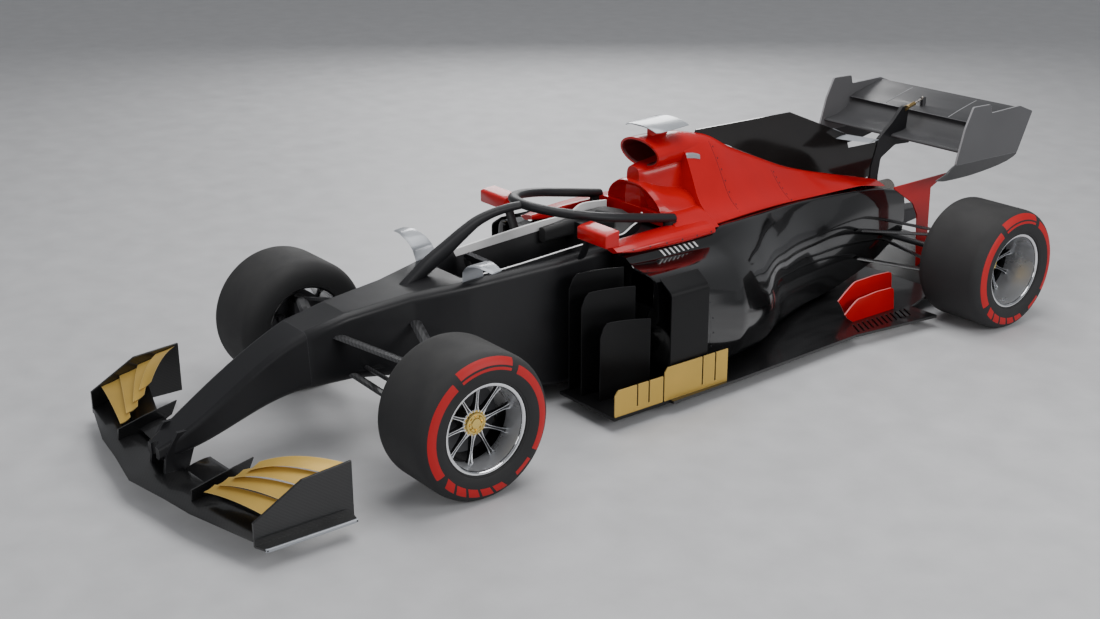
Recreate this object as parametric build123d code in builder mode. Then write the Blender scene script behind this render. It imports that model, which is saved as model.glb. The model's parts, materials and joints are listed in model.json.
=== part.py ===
from build123d import *
import os
from math import cos, sin, radians, hypot, atan2, degrees

os.makedirs("parts", exist_ok=True)

# Open wheel racing car, in millimetres. +Z is up, the nose points to -Y and +X is the driver's left.
# Stations are counted rearwards from the front axle.

# Driving sizes
WHEELBASE = 3456.0
NOSE_STATION = -1205.0
TAIL_STATION = 4222.0
FRONT_AXLE_Y = -(NOSE_STATION + TAIL_STATION) / 2
TYRE_RADIUS = 335.0
BEAD_RADIUS = 208.0
TYRE_SEAT = 0.3
SHOULDER_RADIUS = 62.0
FRONT_TYRE_IN = 570.0
FRONT_TYRE_OUT = 960.0
REAR_TYRE_IN = 636.0
REAR_TYRE_OUT = 1068.0
RIM_LIP = 18.0
RIM_WALL = 9.0
SPOKES = 10
HUB_RADIUS = 62.0
FRONT_HUB_X = 854.0
REAR_HUB_X = 884.0
AXLE_RADIUS = 28.0
RUNNING_FIT = 0.08
FLOOR_TOP = 75.0
FLOOR_THICKNESS = 16.0
PLANK_THICKNESS = 26.0
WALL = 38.0
KINGPIN_X = 650.0
KINGPIN_RADIUS = 12.0
STEER_ARM = 110.0
WING_HALF_SPAN = 527.0
ENDPLATE_THICKNESS = 12.0
SEAT_GAP = 0.3


def at(station):
    """Y of a station."""
    return FRONT_AXLE_Y + station


def across(station):
    """Plane across the car: local x is the car's X, local y its height."""
    return Plane(origin=(0, at(station), 0), x_dir=(1, 0, 0), z_dir=(0, -1, 0))


def side(x):
    """Plane along the car, facing +X: local x is the station, local y the height."""
    return Plane(origin=(x, FRONT_AXLE_Y, 0), x_dir=(0, 1, 0), z_dir=(1, 0, 0))


def level(z):
    """Level plane: local x is the car's X, local y the station."""
    return Plane(origin=(0, FRONT_AXLE_Y, z), x_dir=(1, 0, 0), z_dir=(0, 0, 1))


def outline(plane, points, radius=0.0):
    """Closed outline on a plane, its corners rounded where a radius is given."""
    with BuildSketch(plane) as shape:
        with BuildLine():
            Polyline(*points, close=True)
        make_face()
        if radius > 0:
            fillet(shape.vertices(), radius)
    return shape.sketch


def foil(plane, lead, trail, over, under, edge=3.0):
    """Wing section between its leading and trailing points; over and under are its bulges."""
    along = Vector(trail[0] - lead[0], trail[1] - lead[1])
    up = Vector(-along.Y, along.X).normalized()
    middle = Vector(*lead) + along * 0.42
    top_end = Vector(*trail) + up * edge / 2
    low_end = Vector(*trail) - up * edge / 2
    with BuildSketch(plane) as shape:
        with BuildLine():
            ThreePointArc(lead, middle + up * over, top_end)
            Line(top_end, low_end)
            ThreePointArc(low_end, middle + up * under, lead)
        make_face()
    return shape.sketch


def tube(start, end, radius):
    """Round bar between two points given as (x, station, z)."""
    a = Vector(start[0], at(start[1]), start[2])
    b = Vector(end[0], at(end[1]), end[2])
    with BuildPart() as bar:
        with BuildSketch(Plane(origin=a, z_dir=b - a)):
            Circle(radius)
        extrude(amount=(b - a).length)
    return bar.part


def blade(start, end, chord, thickness):
    """Flattened suspension arm between two points, its chord along the car."""
    a = Vector(start[0], at(start[1]), start[2])
    b = Vector(end[0], at(end[1]), end[2])
    with BuildPart() as bar:
        with BuildSketch(Plane(origin=a, x_dir=(0, 1, 0), z_dir=b - a)):
            with BuildLine():
                Polyline(
                    (-chord / 2, 0), (-chord / 4, thickness / 2), (chord / 6, thickness / 2), (chord / 2, 0),
                    (chord / 6, -thickness / 2), (-chord / 4, -thickness / 2), close=True,
                )
            make_face()
        extrude(amount=(b - a).length)
    return bar.part


def save(piece, name):
    """Labels a finished piece and writes its file."""
    piece.part.label = name
    export_step(piece.part, f"parts/{name}.step")


# Floor with the tray ahead of it and the slots at its rear edges
FLOOR_OUTLINE = [
    (130, 700), (130, 1215), (775, 1215), (764, 1667), (722, 2567), (795, 3150), (610, 3150), (560, 3330),
    (560, 3480),
]
FLOOR_SLOTS = 12
FLOOR_SLOT_FIRST = 2640.0
FLOOR_SLOT_PITCH = 38.0
with BuildPart() as floor:
    with BuildSketch(level(FLOOR_TOP - FLOOR_THICKNESS)):
        with BuildLine():
            Polyline(*FLOOR_OUTLINE, *[(-x, s) for x, s in reversed(FLOOR_OUTLINE)], close=True)
        make_face()
        for hand in (-1, 1):
            with Locations(*[
                (hand * 660, FLOOR_SLOT_FIRST + i * FLOOR_SLOT_PITCH) for i in range(FLOOR_SLOTS)
            ]):
                SlotOverall(110, 11, rotation=hand * -30, mode=Mode.SUBTRACT)
    extrude(amount=FLOOR_THICKNESS)
save(floor, "floor")

# Plank under the floor
PLANK = (300, 820, 3200)
with BuildPart() as plank:
    with BuildSketch(level(FLOOR_TOP - FLOOR_THICKNESS - PLANK_THICKNESS)):
        with Locations((0, (PLANK[1] + PLANK[2]) / 2)):
            RectangleRounded(PLANK[0] - 60, PLANK[2] - PLANK[1], 60)
    extrude(amount=PLANK_THICKNESS)
save(plank, "plank")

# Engine as one plain block, and the gearbox casing with the crash structure and rear light behind it
ENGINE = (175, 1852, 2430, 460)
with BuildPart() as engine:
    with BuildSketch(level(FLOOR_TOP)):
        with Locations((0, (ENGINE[1] + ENGINE[2]) / 2)):
            Rectangle(2 * ENGINE[0], ENGINE[2] - ENGINE[1])
    extrude(amount=ENGINE[3] - FLOOR_TOP)
save(engine, "engine")

# Gearbox. Columns: station, half width, underside, top
GEARBOX_ROWS = [(ENGINE[2], 140, FLOOR_TOP, 440), (3000, 110, FLOOR_TOP, 430), (3560, 76, 250, 430)]
TAIL_JACK_RADIUS = 12.0
CRASH_ROWS = [(3560, 70, 300, 410), (3960, 52, 330, 390)]
with BuildPart() as gearbox:
    loft([
        outline(across(s), [(-w, z0), (w, z0), (w, z1), (-w, z1)], 14) for s, w, z0, z1 in GEARBOX_ROWS
    ], ruled=True)
    loft([
        outline(across(s), [(-w, z0), (w, z0), (w, z1), (-w, z1)], 14) for s, w, z0, z1 in CRASH_ROWS
    ])
    with BuildSketch(across(CRASH_ROWS[-1][0])):
        with Locations((0, 360)):
            RectangleRounded(70, 40, 8)
    extrude(amount=-12)
    with BuildSketch(side(-60)):
        with Locations((3900, 360)):
            Circle(TAIL_JACK_RADIUS)
    extrude(amount=120, mode=Mode.SUBTRACT)
save(gearbox, "gearbox")

# Front wing. Columns of the main plane: x, leading station, trailing station, z
WING_ROWS = [
    (0, -1205, -985, 98),
    (250, -1162, -960, 100),
    (450, -1138, -940, 104),
    (810, -1040, -850, 100),
]
FRONT_PLATE_X = 810.0
with BuildPart() as front_wing_main:
    loft([
        foil(side(x), (lead, z), (trail, z + 14), 12, -8)
        for x, lead, trail, z in WING_ROWS
    ], ruled=True)
    loft([
        foil(side(x), (lead, z), (lead + 120, z + 22), 7, -3)
        for x, lead, z in ((120, -1000, 138), (450, -985, 144), (810, -880, 150))
    ], ruled=True)
    mirror(about=Plane.YZ)
save(front_wing_main, "front_wing_main")

# Nose cone. Columns: station, half width below, half width above, underside, top, corner radius
NOSE_ROWS = [
    (-1082, 62, 56, 176, 228, 16),
    (-960, 96, 88, 196, 292, 24),
    (-660, 118, 106, 290, 474, 30),
    (-380, 142, 119, 345, 607, 34),
]
NOSE_NOTCH_RADIUS = 24.0
# Pylons from the nose down to the front wing: stations and heights
PYLON_OUTLINE = [(-1060, 200), (-1075, 104), (-965, 108), (-900, 290), (-1000, 290)]
PYLON_X = 70.0
PYLON_THICKNESS = 18.0
with BuildPart() as nose:
    loft([
        outline(across(s), [(-low, z0), (low, z0), (top, z1), (-top, z1)], r)
        for s, low, top, z0, z1, r in NOSE_ROWS
    ])
    with BuildSketch(level(100)):
        with Locations((0, NOSE_ROWS[0][0])):
            Circle(NOSE_NOTCH_RADIUS)
    extrude(amount=300, mode=Mode.SUBTRACT)
    for x in (-PYLON_X, PYLON_X):
        with BuildSketch(side(x - PYLON_THICKNESS / 2)):
            with BuildLine():
                Polyline(*PYLON_OUTLINE, close=True)
            make_face()
        extrude(amount=PYLON_THICKNESS)
    add(front_wing_main.part, mode=Mode.SUBTRACT)
save(nose, "nose")

# Monocoque with the open cockpit. Columns as the nose
NOSE_BACK = NOSE_ROWS[-1]
CELL_ROWS = [
    NOSE_BACK,
    (-170, 163, 124, 341, 649, 38),
    (150, 205, 150, 300, 678, 38),
    (430, 248, 232, 150, 700, 40),
    (900, 296, 268, FLOOR_TOP, 716, 40),
    (1400, 300, 292, FLOOR_TOP, 738, 40),
    (1850, 250, 250, FLOOR_TOP, 700, 40),
]
# Cockpit well. Columns: station, half width below, half width above, bottom
WELL_ROWS = [
    (425, 120, 165, 400),
    (640, 160, 205, 150),
    (1330, 190, 225, 150),
]
WELL_TOP = 900.0
RACK_Z = 392.0
RACK_RADIUS = 10.0
with BuildPart() as monocoque:
    loft([
        outline(across(s), [(-low, z0), (low, z0), (top, z1), (-top, z1)], r)
        for s, low, top, z0, z1, r in CELL_ROWS
    ], ruled=True)
    loft([
        outline(across(s), [(-low, z0), (low, z0), (top, WELL_TOP), (-top, WELL_TOP)], 30)
        for s, low, top, z0 in WELL_ROWS
    ], ruled=True, mode=Mode.SUBTRACT)
    with BuildSketch(side(-400)):
        with Locations((-STEER_ARM, RACK_Z)):
            Circle(RACK_RADIUS + RUNNING_FIT)
    extrude(amount=800, mode=Mode.SUBTRACT)
save(monocoque, "monocoque")

# Halo: a hoop in a sloping plane, its rear legs and the centre pillar
HALO_FRONT = (870, 944)
HALO_DROP = 0.189
HALO_HALF = 288.0
HALO_LENGTH = 770.0
HALO_TUBE = (30, 21)
PILLAR_OUTER = [(150, 640), (160, 680), (268, 733), (389, 822), (522, 899), (633, 938), (742, 955), (876, 954)]
PILLAR_INNER = [(876, 916), (756, 910), (649, 887), (567, 846), (502, 804), (448, 730), (425, 690), (420, 640)]
PILLAR_THICKNESS = 44.0
halo_plane = Plane(
    origin=(0, at(HALO_FRONT[0]), HALO_FRONT[1]),
    x_dir=(1, 0, 0),
    z_dir=Vector(0, HALO_DROP, 1),
)
with BuildPart() as halo:
    with BuildLine(halo_plane) as hoop:
        FilletPolyline(
            (-HALO_HALF, HALO_LENGTH),
            (-HALO_HALF + 6, 250),
            (-110, 0),
            (110, 0),
            (HALO_HALF - 6, 250),
            (HALO_HALF, HALO_LENGTH),
            radius=130,
        )
    with BuildSketch(Plane(origin=hoop.line @ 0, x_dir=(1, 0, 0), z_dir=hoop.line % 0)):
        Ellipse(*HALO_TUBE)
    sweep(path=hoop.line)
    for x in (-HALO_HALF, HALO_HALF):
        end = halo_plane.from_local_coords((x, HALO_LENGTH, 0))
        with BuildSketch(Plane(origin=(end.X, end.Y - 12, 600), z_dir=(0, 0, 1))):
            Ellipse(26, 40)
        extrude(amount=end.Z - 600)
    with BuildSketch(side(-PILLAR_THICKNESS / 2)):
        with BuildLine():
            Polyline(*PILLAR_OUTER, *PILLAR_INNER, close=True)
        make_face()
    extrude(amount=PILLAR_THICKNESS)
    add(monocoque.part, mode=Mode.SUBTRACT)
save(halo, "halo")

# Padded cockpit rim: a U that lies on the monocoque around the well
RIM_PAD_WIDTH = 46.0
RIM_PAD_RISE = 34.0
with BuildPart() as headrest:
    with BuildSketch(level(560)):
        with BuildLine():
            Polyline(
                (-205, 640), (-225, 1330), (225, 1330), (205, 640),
                (205 - RIM_PAD_WIDTH, 640), (160, 1180), (-160, 1180), (-205 + RIM_PAD_WIDTH, 640),
                close=True,
            )
        make_face()
    extrude(amount=716 + RIM_PAD_RISE - 560)
    add(monocoque.part, mode=Mode.SUBTRACT)
save(headrest, "headrest")

# Seat: a bucket lying in the well
SEAT_SIDE = [(700, 200), (760, 150.3), (1000, 150.3), (1175, 520), (1150, 535), (985, 185), (770, 185), (715, 215)]
SEAT_HALF = 122.0
with BuildPart() as seat:
    with BuildSketch(side(-SEAT_HALF)):
        with BuildLine():
            Polyline(*SEAT_SIDE, close=True)
        make_face()
    extrude(amount=2 * SEAT_HALF)
    for x in (-SEAT_HALF, SEAT_HALF - 18):
        with BuildSketch(side(x)):
            with BuildLine():
                Polyline((770, 185), (985, 185), (1150, 535), (1090, 500), (940, 330), (800, 300), close=True)
            make_face()
        extrude(amount=18)
save(seat, "seat")

# Steering column and wheel, their axis pointing back and up at the driver
COLUMN_TILT = 18.0
WHEEL_CENTRE = (0, 660, 640)
column_dir = Vector(0, cos(radians(COLUMN_TILT)), sin(radians(COLUMN_TILT)))
wheel_centre = Vector(0, at(WHEEL_CENTRE[1]), WHEEL_CENTRE[2])
COLUMN_LENGTH = 150.0
SHAFT_RADIUS = 12.0
wheel_plane = Plane(origin=wheel_centre, x_dir=(1, 0, 0), z_dir=column_dir)
with BuildPart() as steering_column:
    with BuildSketch(wheel_plane.offset(-30 - COLUMN_LENGTH)):
        Circle(22)
    extrude(amount=COLUMN_LENGTH)
    with BuildSketch(wheel_plane.offset(-30 - COLUMN_LENGTH)):
        with Locations((0, 12)):
            Rectangle(420, 60)
    extrude(amount=24)
    with BuildSketch(wheel_plane.offset(-90)):
        Circle(SHAFT_RADIUS + RUNNING_FIT)
    extrude(amount=120, mode=Mode.SUBTRACT)
    add(monocoque.part, mode=Mode.SUBTRACT)
save(steering_column, "steering_column")

with BuildPart() as steering_wheel:
    with BuildSketch(wheel_plane.offset(-12)):
        RectangleRounded(270, 165, 50)
        with Locations((-92, -4), (92, -4)):
            RectangleRounded(44, 86, 20, mode=Mode.SUBTRACT)
    extrude(amount=24)
    with BuildSketch(wheel_plane.offset(-82)):
        Circle(SHAFT_RADIUS)
    extrude(amount=72)
save(steering_wheel, "steering_wheel")

# Engine cover. Columns: station, foot half width, foot z, waist half width, waist z, top half width, top z, radius
SPINE_ROWS = [
    (1640, 425, 742, 165, 930, 118, 1150, 34),
    (1900, 395, 722, 175, 930, 80, 1148, 30),
    (2273, 300, 700, 150, 850, 46, 1016, 22),
    (2747, 190, 660, 100, 740, 34, 818, 16),
    (3330, 112, 600, 82, 636, 30, 664, 12),
]
AIR_INLET = (98, 46)
AIR_INLET_Z = 1088.0
AIR_INLET_DEPTH = 240.0
COCKPIT_BACK = 1345.0
# Shoulders beside the cockpit. Columns: station, inner x, outer x, underside, top
SHOULDER_ROWS = [
    (1190, 318, 412, 700, 748),
    (1640, 318, 430, 742, 790),
]
with BuildPart() as engine_cover:
    loft([
        outline(across(s), [(-w0, z0), (w0, z0), (w1, z1), (w2, z2), (-w2, z2), (-w1, z1)], r)
        for s, w0, z0, w1, z1, w2, z2, r in SPINE_ROWS
    ])
    loft([
        outline(across(COCKPIT_BACK), [(-200, 700), (200, 700), (120, 800), (-120, 800)], 20),
        outline(across(1640.5), [(-300, 700), (300, 700), (150, 990), (-150, 990)], 20),
    ])
    for hand in (-1, 1):
        loft([
            outline(across(s), [(hand * x0, z0), (hand * x1, z0), (hand * (x1 - 20), z1), (hand * x0, z1)], 8)
            for s, x0, x1, z0, z1 in SHOULDER_ROWS
        ])
    with BuildSketch(across(1600)):
        with Locations((0, AIR_INLET_Z)):
            Ellipse(*AIR_INLET)
    extrude(amount=-AIR_INLET_DEPTH, mode=Mode.SUBTRACT)
    add(monocoque.part, mode=Mode.SUBTRACT)
    add(halo.part, mode=Mode.SUBTRACT)
    add(headrest.part, mode=Mode.SUBTRACT)
save(engine_cover, "engine_cover")

# Camera pod: a plate on a stalk over the intake
POD_ROWS = [(1652, 130, 1212), (1854, 124, 1230)]
with BuildPart() as camera_pod:
    loft([
        outline(across(s), [(-w, z - 6), (w, z - 6), (w * 0.8, z + 10), (-w * 0.8, z + 10)], 3)
        for s, w, z in POD_ROWS
    ])
    with BuildSketch(level(1120)):
        with Locations((0, 1750)):
            Ellipse(17, 62)
    extrude(amount=102)
    add(engine_cover.part, mode=Mode.SUBTRACT)
save(camera_pod, "camera_pod")

# Shark fin, standing on the ridge of the engine cover
FIN_OUTLINE = [
    (2010, 1090), (2035, 1138), (2739, 1130), (3205, 938), (3238, 848), (3480, 844), (3492, 660),
    (3325, 630), (2747, 780), (2273, 980),
]
FIN_THICKNESS = 10.0
with BuildPart() as shark_fin:
    with BuildSketch(side(-FIN_THICKNESS / 2)):
        with BuildLine():
            Polyline(*FIN_OUTLINE, close=True)
        make_face()
    extrude(amount=FIN_THICKNESS)
    add(engine_cover.part, mode=Mode.SUBTRACT)
save(shark_fin, "shark_fin")

# Small swept wing at the fin's back corner. Columns: x, leading station, trailing station, z
FIN_WING_ROWS = [(FIN_THICKNESS / 2 + SEAT_GAP, 3120, 3225, 922), (170, 3222, 3302, 912)]
with BuildPart() as fin_wing:
    loft([foil(side(x), (lead, z), (trail, z + 8), 7, -1, 2) for x, lead, trail, z in FIN_WING_ROWS])
    mirror(about=Plane.YZ)
save(fin_wing, "fin_wing")

# Sidepods. Columns: station, inner x, foot x, foot z, widest x, z, shoulder x, z, cover edge x, z, corner radius
POD_SIDE_ROWS = [
    (1215, 318, 430, 300, 660, 430, 640, 662, 412, 700, 14),
    (1500, 318, 470, FLOOR_TOP, 690, 400, 640, 640, 425, 728, 14),
    (1900, 262, 470, FLOOR_TOP, 640, 340, 560, 560, 395, 722, 14),
    (2273, 228, 400, FLOOR_TOP, 500, 280, 420, 500, 300, 700, 14),
    (2747, 160, 270, FLOOR_TOP, 310, 250, 280, 430, 190, 660, 8),
    (3330, 90, 150, FLOOR_TOP + 120, 170, 300, 160, 420, 112, 600, 4),
]
INLET = (1200, 1400, 440, 600, 500, 640)
inlet_back = Plane(origin=(0, at(INLET[1]), 0), z_dir=(0, -1, 0))
with BuildPart() as pod_body:
    loft([
        outline(across(s), [(xi, zf), (xf, zf), (xw, zw), (xs, zs), (xc, zc), (xi, zc)], r)
        for s, xi, xf, zf, xw, zw, xs, zs, xc, zc, r in POD_SIDE_ROWS
    ])
    split(bisect_by=Plane.XY.offset(FLOOR_TOP), keep=Keep.TOP)
    mirror(about=Plane.YZ)
    for neighbour in (monocoque, engine_cover, engine, gearbox, halo):
        add(neighbour.part, mode=Mode.SUBTRACT)

with BuildPart() as sidepods:
    add(pod_body.part)
    split(bisect_by=inlet_back, keep=Keep.BOTTOM)
save(sidepods, "sidepods")

# Inlet ducts at the front of the sidepods
with BuildPart() as sidepod_inlets:
    add(pod_body.part)
    split(bisect_by=inlet_back, keep=Keep.TOP)
    for hand in (-1, 1):
        with BuildSketch(across(INLET[0])):
            with Locations((hand * (INLET[2] + INLET[3]) / 2, (INLET[4] + INLET[5]) / 2)):
                RectangleRounded(INLET[3] - INLET[2], INLET[5] - INLET[4], 30)
        extrude(amount=-(INLET[1] - INLET[0]), mode=Mode.SUBTRACT)
save(sidepod_inlets, "sidepod_inlets")

# Bargeboards: upright vanes on the floor, ahead of the sidepods. Columns: x front, station front, x back, station back, top
VANE_ROWS = [
    (350, 880, 500, 1140, 430),
    (430, 860, 590, 1140, 380),
    (520, 850, 670, 1140, 340),
]
FLOOR_LIP = 1215.0
with BuildPart() as bargeboards:
    with BuildSketch(level(FLOOR_TOP)):
        for hand in (-1, 1):
            for xf, sf, xb, sb, top in VANE_ROWS:
                with BuildLine():
                    Polyline(
                        (hand * xf, sf), (hand * (xf + 60), sf + 150), (hand * xb, sb + 60),
                        (hand * (xb + 7), sb + 60), (hand * (xf + 68), sf + 148), (hand * (xf + 7), sf),
                        close=True,
                    )
                make_face()
    extrude(amount=300)
    with BuildSketch(level(FLOOR_TOP - FLOOR_THICKNESS)):
        for hand in (-1, 1):
            with BuildLine():
                Polyline(
                    (hand * 340, 860), (hand * 752, 860), (hand * 752, FLOOR_LIP), (hand * 340, FLOOR_LIP),
                    close=True,
                )
            make_face()
    extrude(amount=FLOOR_THICKNESS)
    with BuildSketch(level(FLOOR_TOP - FLOOR_THICKNESS)):
        with Locations((0, 1120)):
            Rectangle(700, 190)
    extrude(amount=FLOOR_THICKNESS)
    add(floor.part, mode=Mode.SUBTRACT)
save(bargeboards, "bargeboards")

# Gold vanes along the floor's front corners. Columns: front station, back station, foot z, top z
GOLD_ROWS = [(869, 1168, FLOOR_TOP, 208), (1178, 1592, FLOOR_TOP, 246)]
GOLD_X = 742.0
GOLD_THICKNESS = 6.0
with BuildPart() as floor_vanes:
    for front, back, foot, top in GOLD_ROWS:
        with BuildSketch(side(GOLD_X)):
            with BuildLine():
                Polyline((front, foot), (back, foot), (back, top), (front, top), close=True)
            make_face()
        extrude(amount=GOLD_THICKNESS)
    mirror(about=Plane.YZ)
    add(floor.part, mode=Mode.SUBTRACT)
save(floor_vanes, "floor_vanes")

# Stacked flaps. Columns: inner x, inner lead, inner trail, outer lead, outer trail
FLAP_ROWS = [
    (425, (-1056, 168), (-1006, 186), (-985, 200), (-885, 222)),
    (455, (-1012, 196), (-955, 216), (-893, 232), (-790, 254)),
    (490, (-962, 226), (-905, 248), (-798, 264), (-695, 286)),
    (530, (-912, 258), (-850, 284), (-703, 296), (-606, 318)),
]
with BuildPart() as front_wing_flaps:
    for xi, il, it, ol, ot in FLAP_ROWS:
        loft([foil(side(xi), il, it, 5, -1, 2), foil(side(FRONT_PLATE_X), ol, ot, 8, -1, 2)])
    mirror(about=Plane.YZ)
save(front_wing_flaps, "front_wing_flaps")

# Endplates with their footplates, and the fences at the flaps' inner tips
PLATE_OUTLINE = [(-1036, 76), (-1036, 184), (-812, 306), (-585, 322), (-585, 76)]
PLATE_THICKNESS = 12.0
FOOT_X = 882.0
FENCE_OUTLINE = [(-1092, 104), (-1088, 168), (-960, 200), (-800, 232), (-830, 170), (-940, 116)]
FENCE_X = 372.0
with BuildPart() as front_wing_endplates:
    with BuildSketch(side(FRONT_PLATE_X)):
        with BuildLine():
            Polyline(*PLATE_OUTLINE, close=True)
        make_face()
    extrude(amount=PLATE_THICKNESS)
    with BuildSketch(level(76)):
        with BuildLine():
            Polyline(
                (FRONT_PLATE_X + PLATE_THICKNESS, -1036), (FOOT_X, -1013), (FOOT_X, -603),
                (FRONT_PLATE_X + PLATE_THICKNESS, -590), close=True,
            )
        make_face()
    extrude(amount=8)
    with BuildSketch(side(FENCE_X)):
        with BuildLine():
            Polyline(*FENCE_OUTLINE, close=True)
        make_face()
    extrude(amount=8)
    mirror(about=Plane.YZ)
    add(front_wing_main.part, mode=Mode.SUBTRACT)
save(front_wing_endplates, "front_wing_endplates")

# Horn winglets on the chassis top
with BuildPart() as horn_winglets:
    loft([
        outline(side(x), [(s, z), (s + 110, z + 8), (s + 110, z + 14), (s, z + 6)], 0)
        for x, s, z in ((205, 330, 690), (300, 430, 745))
    ])
    with BuildSketch(side(160)):
        with BuildLine():
            Polyline((340, 640), (430, 640), (430, 704), (340, 696), close=True)
        make_face()
    extrude(amount=45)
    mirror(about=Plane.YZ)
    add(monocoque.part, mode=Mode.SUBTRACT)
save(horn_winglets, "horn_winglets")

# Mirrors on stalks from the shoulders
MIRROR = (462, 880, 600, 1000, 846, 918)
with BuildPart() as mirrors:
    loft([
        outline(across(s), [(430, z0), (610, z0), (605, z1), (435, z1)], 12)
        for s, z0, z1 in ((905, 848, 912), (1005, 842, 918))
    ])
    add(blade((430, 950, 850), (240, 1015, 690), 60, 12))
    mirror(about=Plane.YZ)
    add(monocoque.part, mode=Mode.SUBTRACT)
save(mirrors, "mirrors")

# Diffuser: a ramp behind the floor with its upright strakes
DIFFUSER_HALF = 535.0
DIFFUSER_BACK = 3900.0
DIFFUSER_RISE = 135.0
STRAKE_XS = (-DIFFUSER_HALF, -350, -180, 172, 342, DIFFUSER_HALF - 8)
floor_back = FLOOR_OUTLINE[-1][1]
floor_under = FLOOR_TOP - FLOOR_THICKNESS
with BuildPart() as diffuser:
    with BuildSketch(side(-DIFFUSER_HALF)):
        with BuildLine():
            Polyline(
                (floor_back, floor_under), (floor_back, FLOOR_TOP),
                (DIFFUSER_BACK, FLOOR_TOP + DIFFUSER_RISE), (DIFFUSER_BACK, floor_under + DIFFUSER_RISE),
                close=True,
            )
        make_face()
    extrude(amount=2 * DIFFUSER_HALF)
    for x in STRAKE_XS:
        with BuildSketch(side(x)):
            with BuildLine():
                Polyline(
                    (floor_back, floor_under), (DIFFUSER_BACK, floor_under + DIFFUSER_RISE + 4),
                    (DIFFUSER_BACK, floor_under + 34), (floor_back, floor_under - 8), close=True,
                )
            make_face()
        extrude(amount=8)
save(diffuser, "diffuser")

# Tail pipe over the gearbox
EXHAUST_Z = 545.0
with BuildPart() as exhaust:
    with BuildSketch(across(3345)):
        with Locations((0, EXHAUST_Z)):
            Circle(54)
    extrude(amount=-275)
    with BuildSketch(across(3400)):
        with Locations((0, EXHAUST_Z)):
            Circle(49)
    extrude(amount=-240, mode=Mode.SUBTRACT)
    with BuildSketch(level(400)):
        with Locations((0, 3400), (0, 3520)):
            Rectangle(40, 16)
    extrude(amount=98)
    add(gearbox.part, mode=Mode.SUBTRACT)
save(exhaust, "exhaust")

# Rear wing. The endplates reach down behind the suspension to the diffuser
REAR_PLATE = [
    (3662, 1118), (3821, 1114), (3835, 1062), (4098, 1068), (4222, 1021), (4108, 792), (3720, 740),
    (3580, 640), (3600, 105), (3530, 84), (3510, 480), (3440, 660), (3369, 721), (3560, 800), (3610, 1003),
]
FLAP_PIVOT = (4072, 1046)
FLAP_EYE = (3880, 1050)
ACTUATOR_PIN_RADIUS = 4.0
FLAP_PIN_RADIUS = 5.0
plate_inner = WING_HALF_SPAN - ENDPLATE_THICKNESS
with BuildPart() as rear_wing_endplates:
    with BuildSketch(side(plate_inner)):
        with BuildLine():
            Polyline(*REAR_PLATE, close=True)
        make_face()
        with Locations(FLAP_PIVOT):
            Circle(FLAP_PIN_RADIUS + RUNNING_FIT, mode=Mode.SUBTRACT)
    extrude(amount=ENDPLATE_THICKNESS)
    mirror(about=Plane.YZ)
    add(diffuser.part, mode=Mode.SUBTRACT)
save(rear_wing_endplates, "rear_wing_endplates")

REAR_MAIN = ((3600, 872), (3845, 950))
REAR_FLAP = ((3812, 985), (4100, 1056))
FLAP_SIDE_GAP = 5.5
flap_half = plate_inner - FLAP_SIDE_GAP
with BuildPart() as rear_wing_main:
    extrude(foil(side(-plate_inner), *REAR_MAIN, -6, -36), amount=2 * plate_inner)
save(rear_wing_main, "rear_wing_main")

with BuildPart() as rear_wing_flap:
    extrude(foil(side(-flap_half), *REAR_FLAP, 4, -18), amount=2 * flap_half)
    with BuildSketch(side(-plate_inner - ENDPLATE_THICKNESS + 1)):
        with Locations(FLAP_PIVOT):
            Circle(FLAP_PIN_RADIUS)
    extrude(amount=2 * (plate_inner + ENDPLATE_THICKNESS - 1))
    for x in (-12, 8):
        with BuildSketch(side(x)):
            with Locations((FLAP_EYE[0], FLAP_EYE[1] - 20)):
                Rectangle(24, 60)
        extrude(amount=4)
    with BuildSketch(side(-12)):
        with Locations(FLAP_EYE):
            Circle(ACTUATOR_PIN_RADIUS)
    extrude(amount=24)
save(rear_wing_flap, "rear_wing_flap")

# Swan neck pylon: two legs on the gearbox, a bridge and a blade that hooks over the main plane
ACTUATOR_FOOT = (3715, 1010)
PYLON_LEG = (3525, 3605, 300, 700)
PYLON_LEG_X = 72.0
NECK_OUTLINE = [
    (3525, 690), (3485, 796), (3560, 890), (3640, 975), (3698, 1026), (3730, 1026), (3753, 948), (3745, 880),
    (3690, 830), (3605, 690),
]
NECK_THICKNESS = 18.0
with BuildPart() as rear_wing_pylon:
    for x in (-PYLON_LEG_X - 14, PYLON_LEG_X - 6):
        with BuildSketch(side(x)):
            with Locations(((PYLON_LEG[0] + PYLON_LEG[1]) / 2, (PYLON_LEG[2] + PYLON_LEG[3]) / 2)):
                Rectangle(PYLON_LEG[1] - PYLON_LEG[0], PYLON_LEG[3] - PYLON_LEG[2])
        extrude(amount=20)
    with BuildSketch(side(-PYLON_LEG_X - 14)):
        with Locations(((PYLON_LEG[0] + PYLON_LEG[1]) / 2, PYLON_LEG[3] - 8)):
            Rectangle(PYLON_LEG[1] - PYLON_LEG[0], 16)
    extrude(amount=2 * PYLON_LEG_X + 28)
    with BuildSketch(side(-NECK_THICKNESS / 2)):
        with BuildLine():
            Polyline(*NECK_OUTLINE, close=True)
        make_face()
        with Locations(ACTUATOR_FOOT):
            Circle(ACTUATOR_PIN_RADIUS + RUNNING_FIT, mode=Mode.SUBTRACT)
    extrude(amount=NECK_THICKNESS)
    add(rear_wing_main.part, mode=Mode.SUBTRACT)
    add(gearbox.part, mode=Mode.SUBTRACT)
save(rear_wing_pylon, "rear_wing_pylon")

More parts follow.
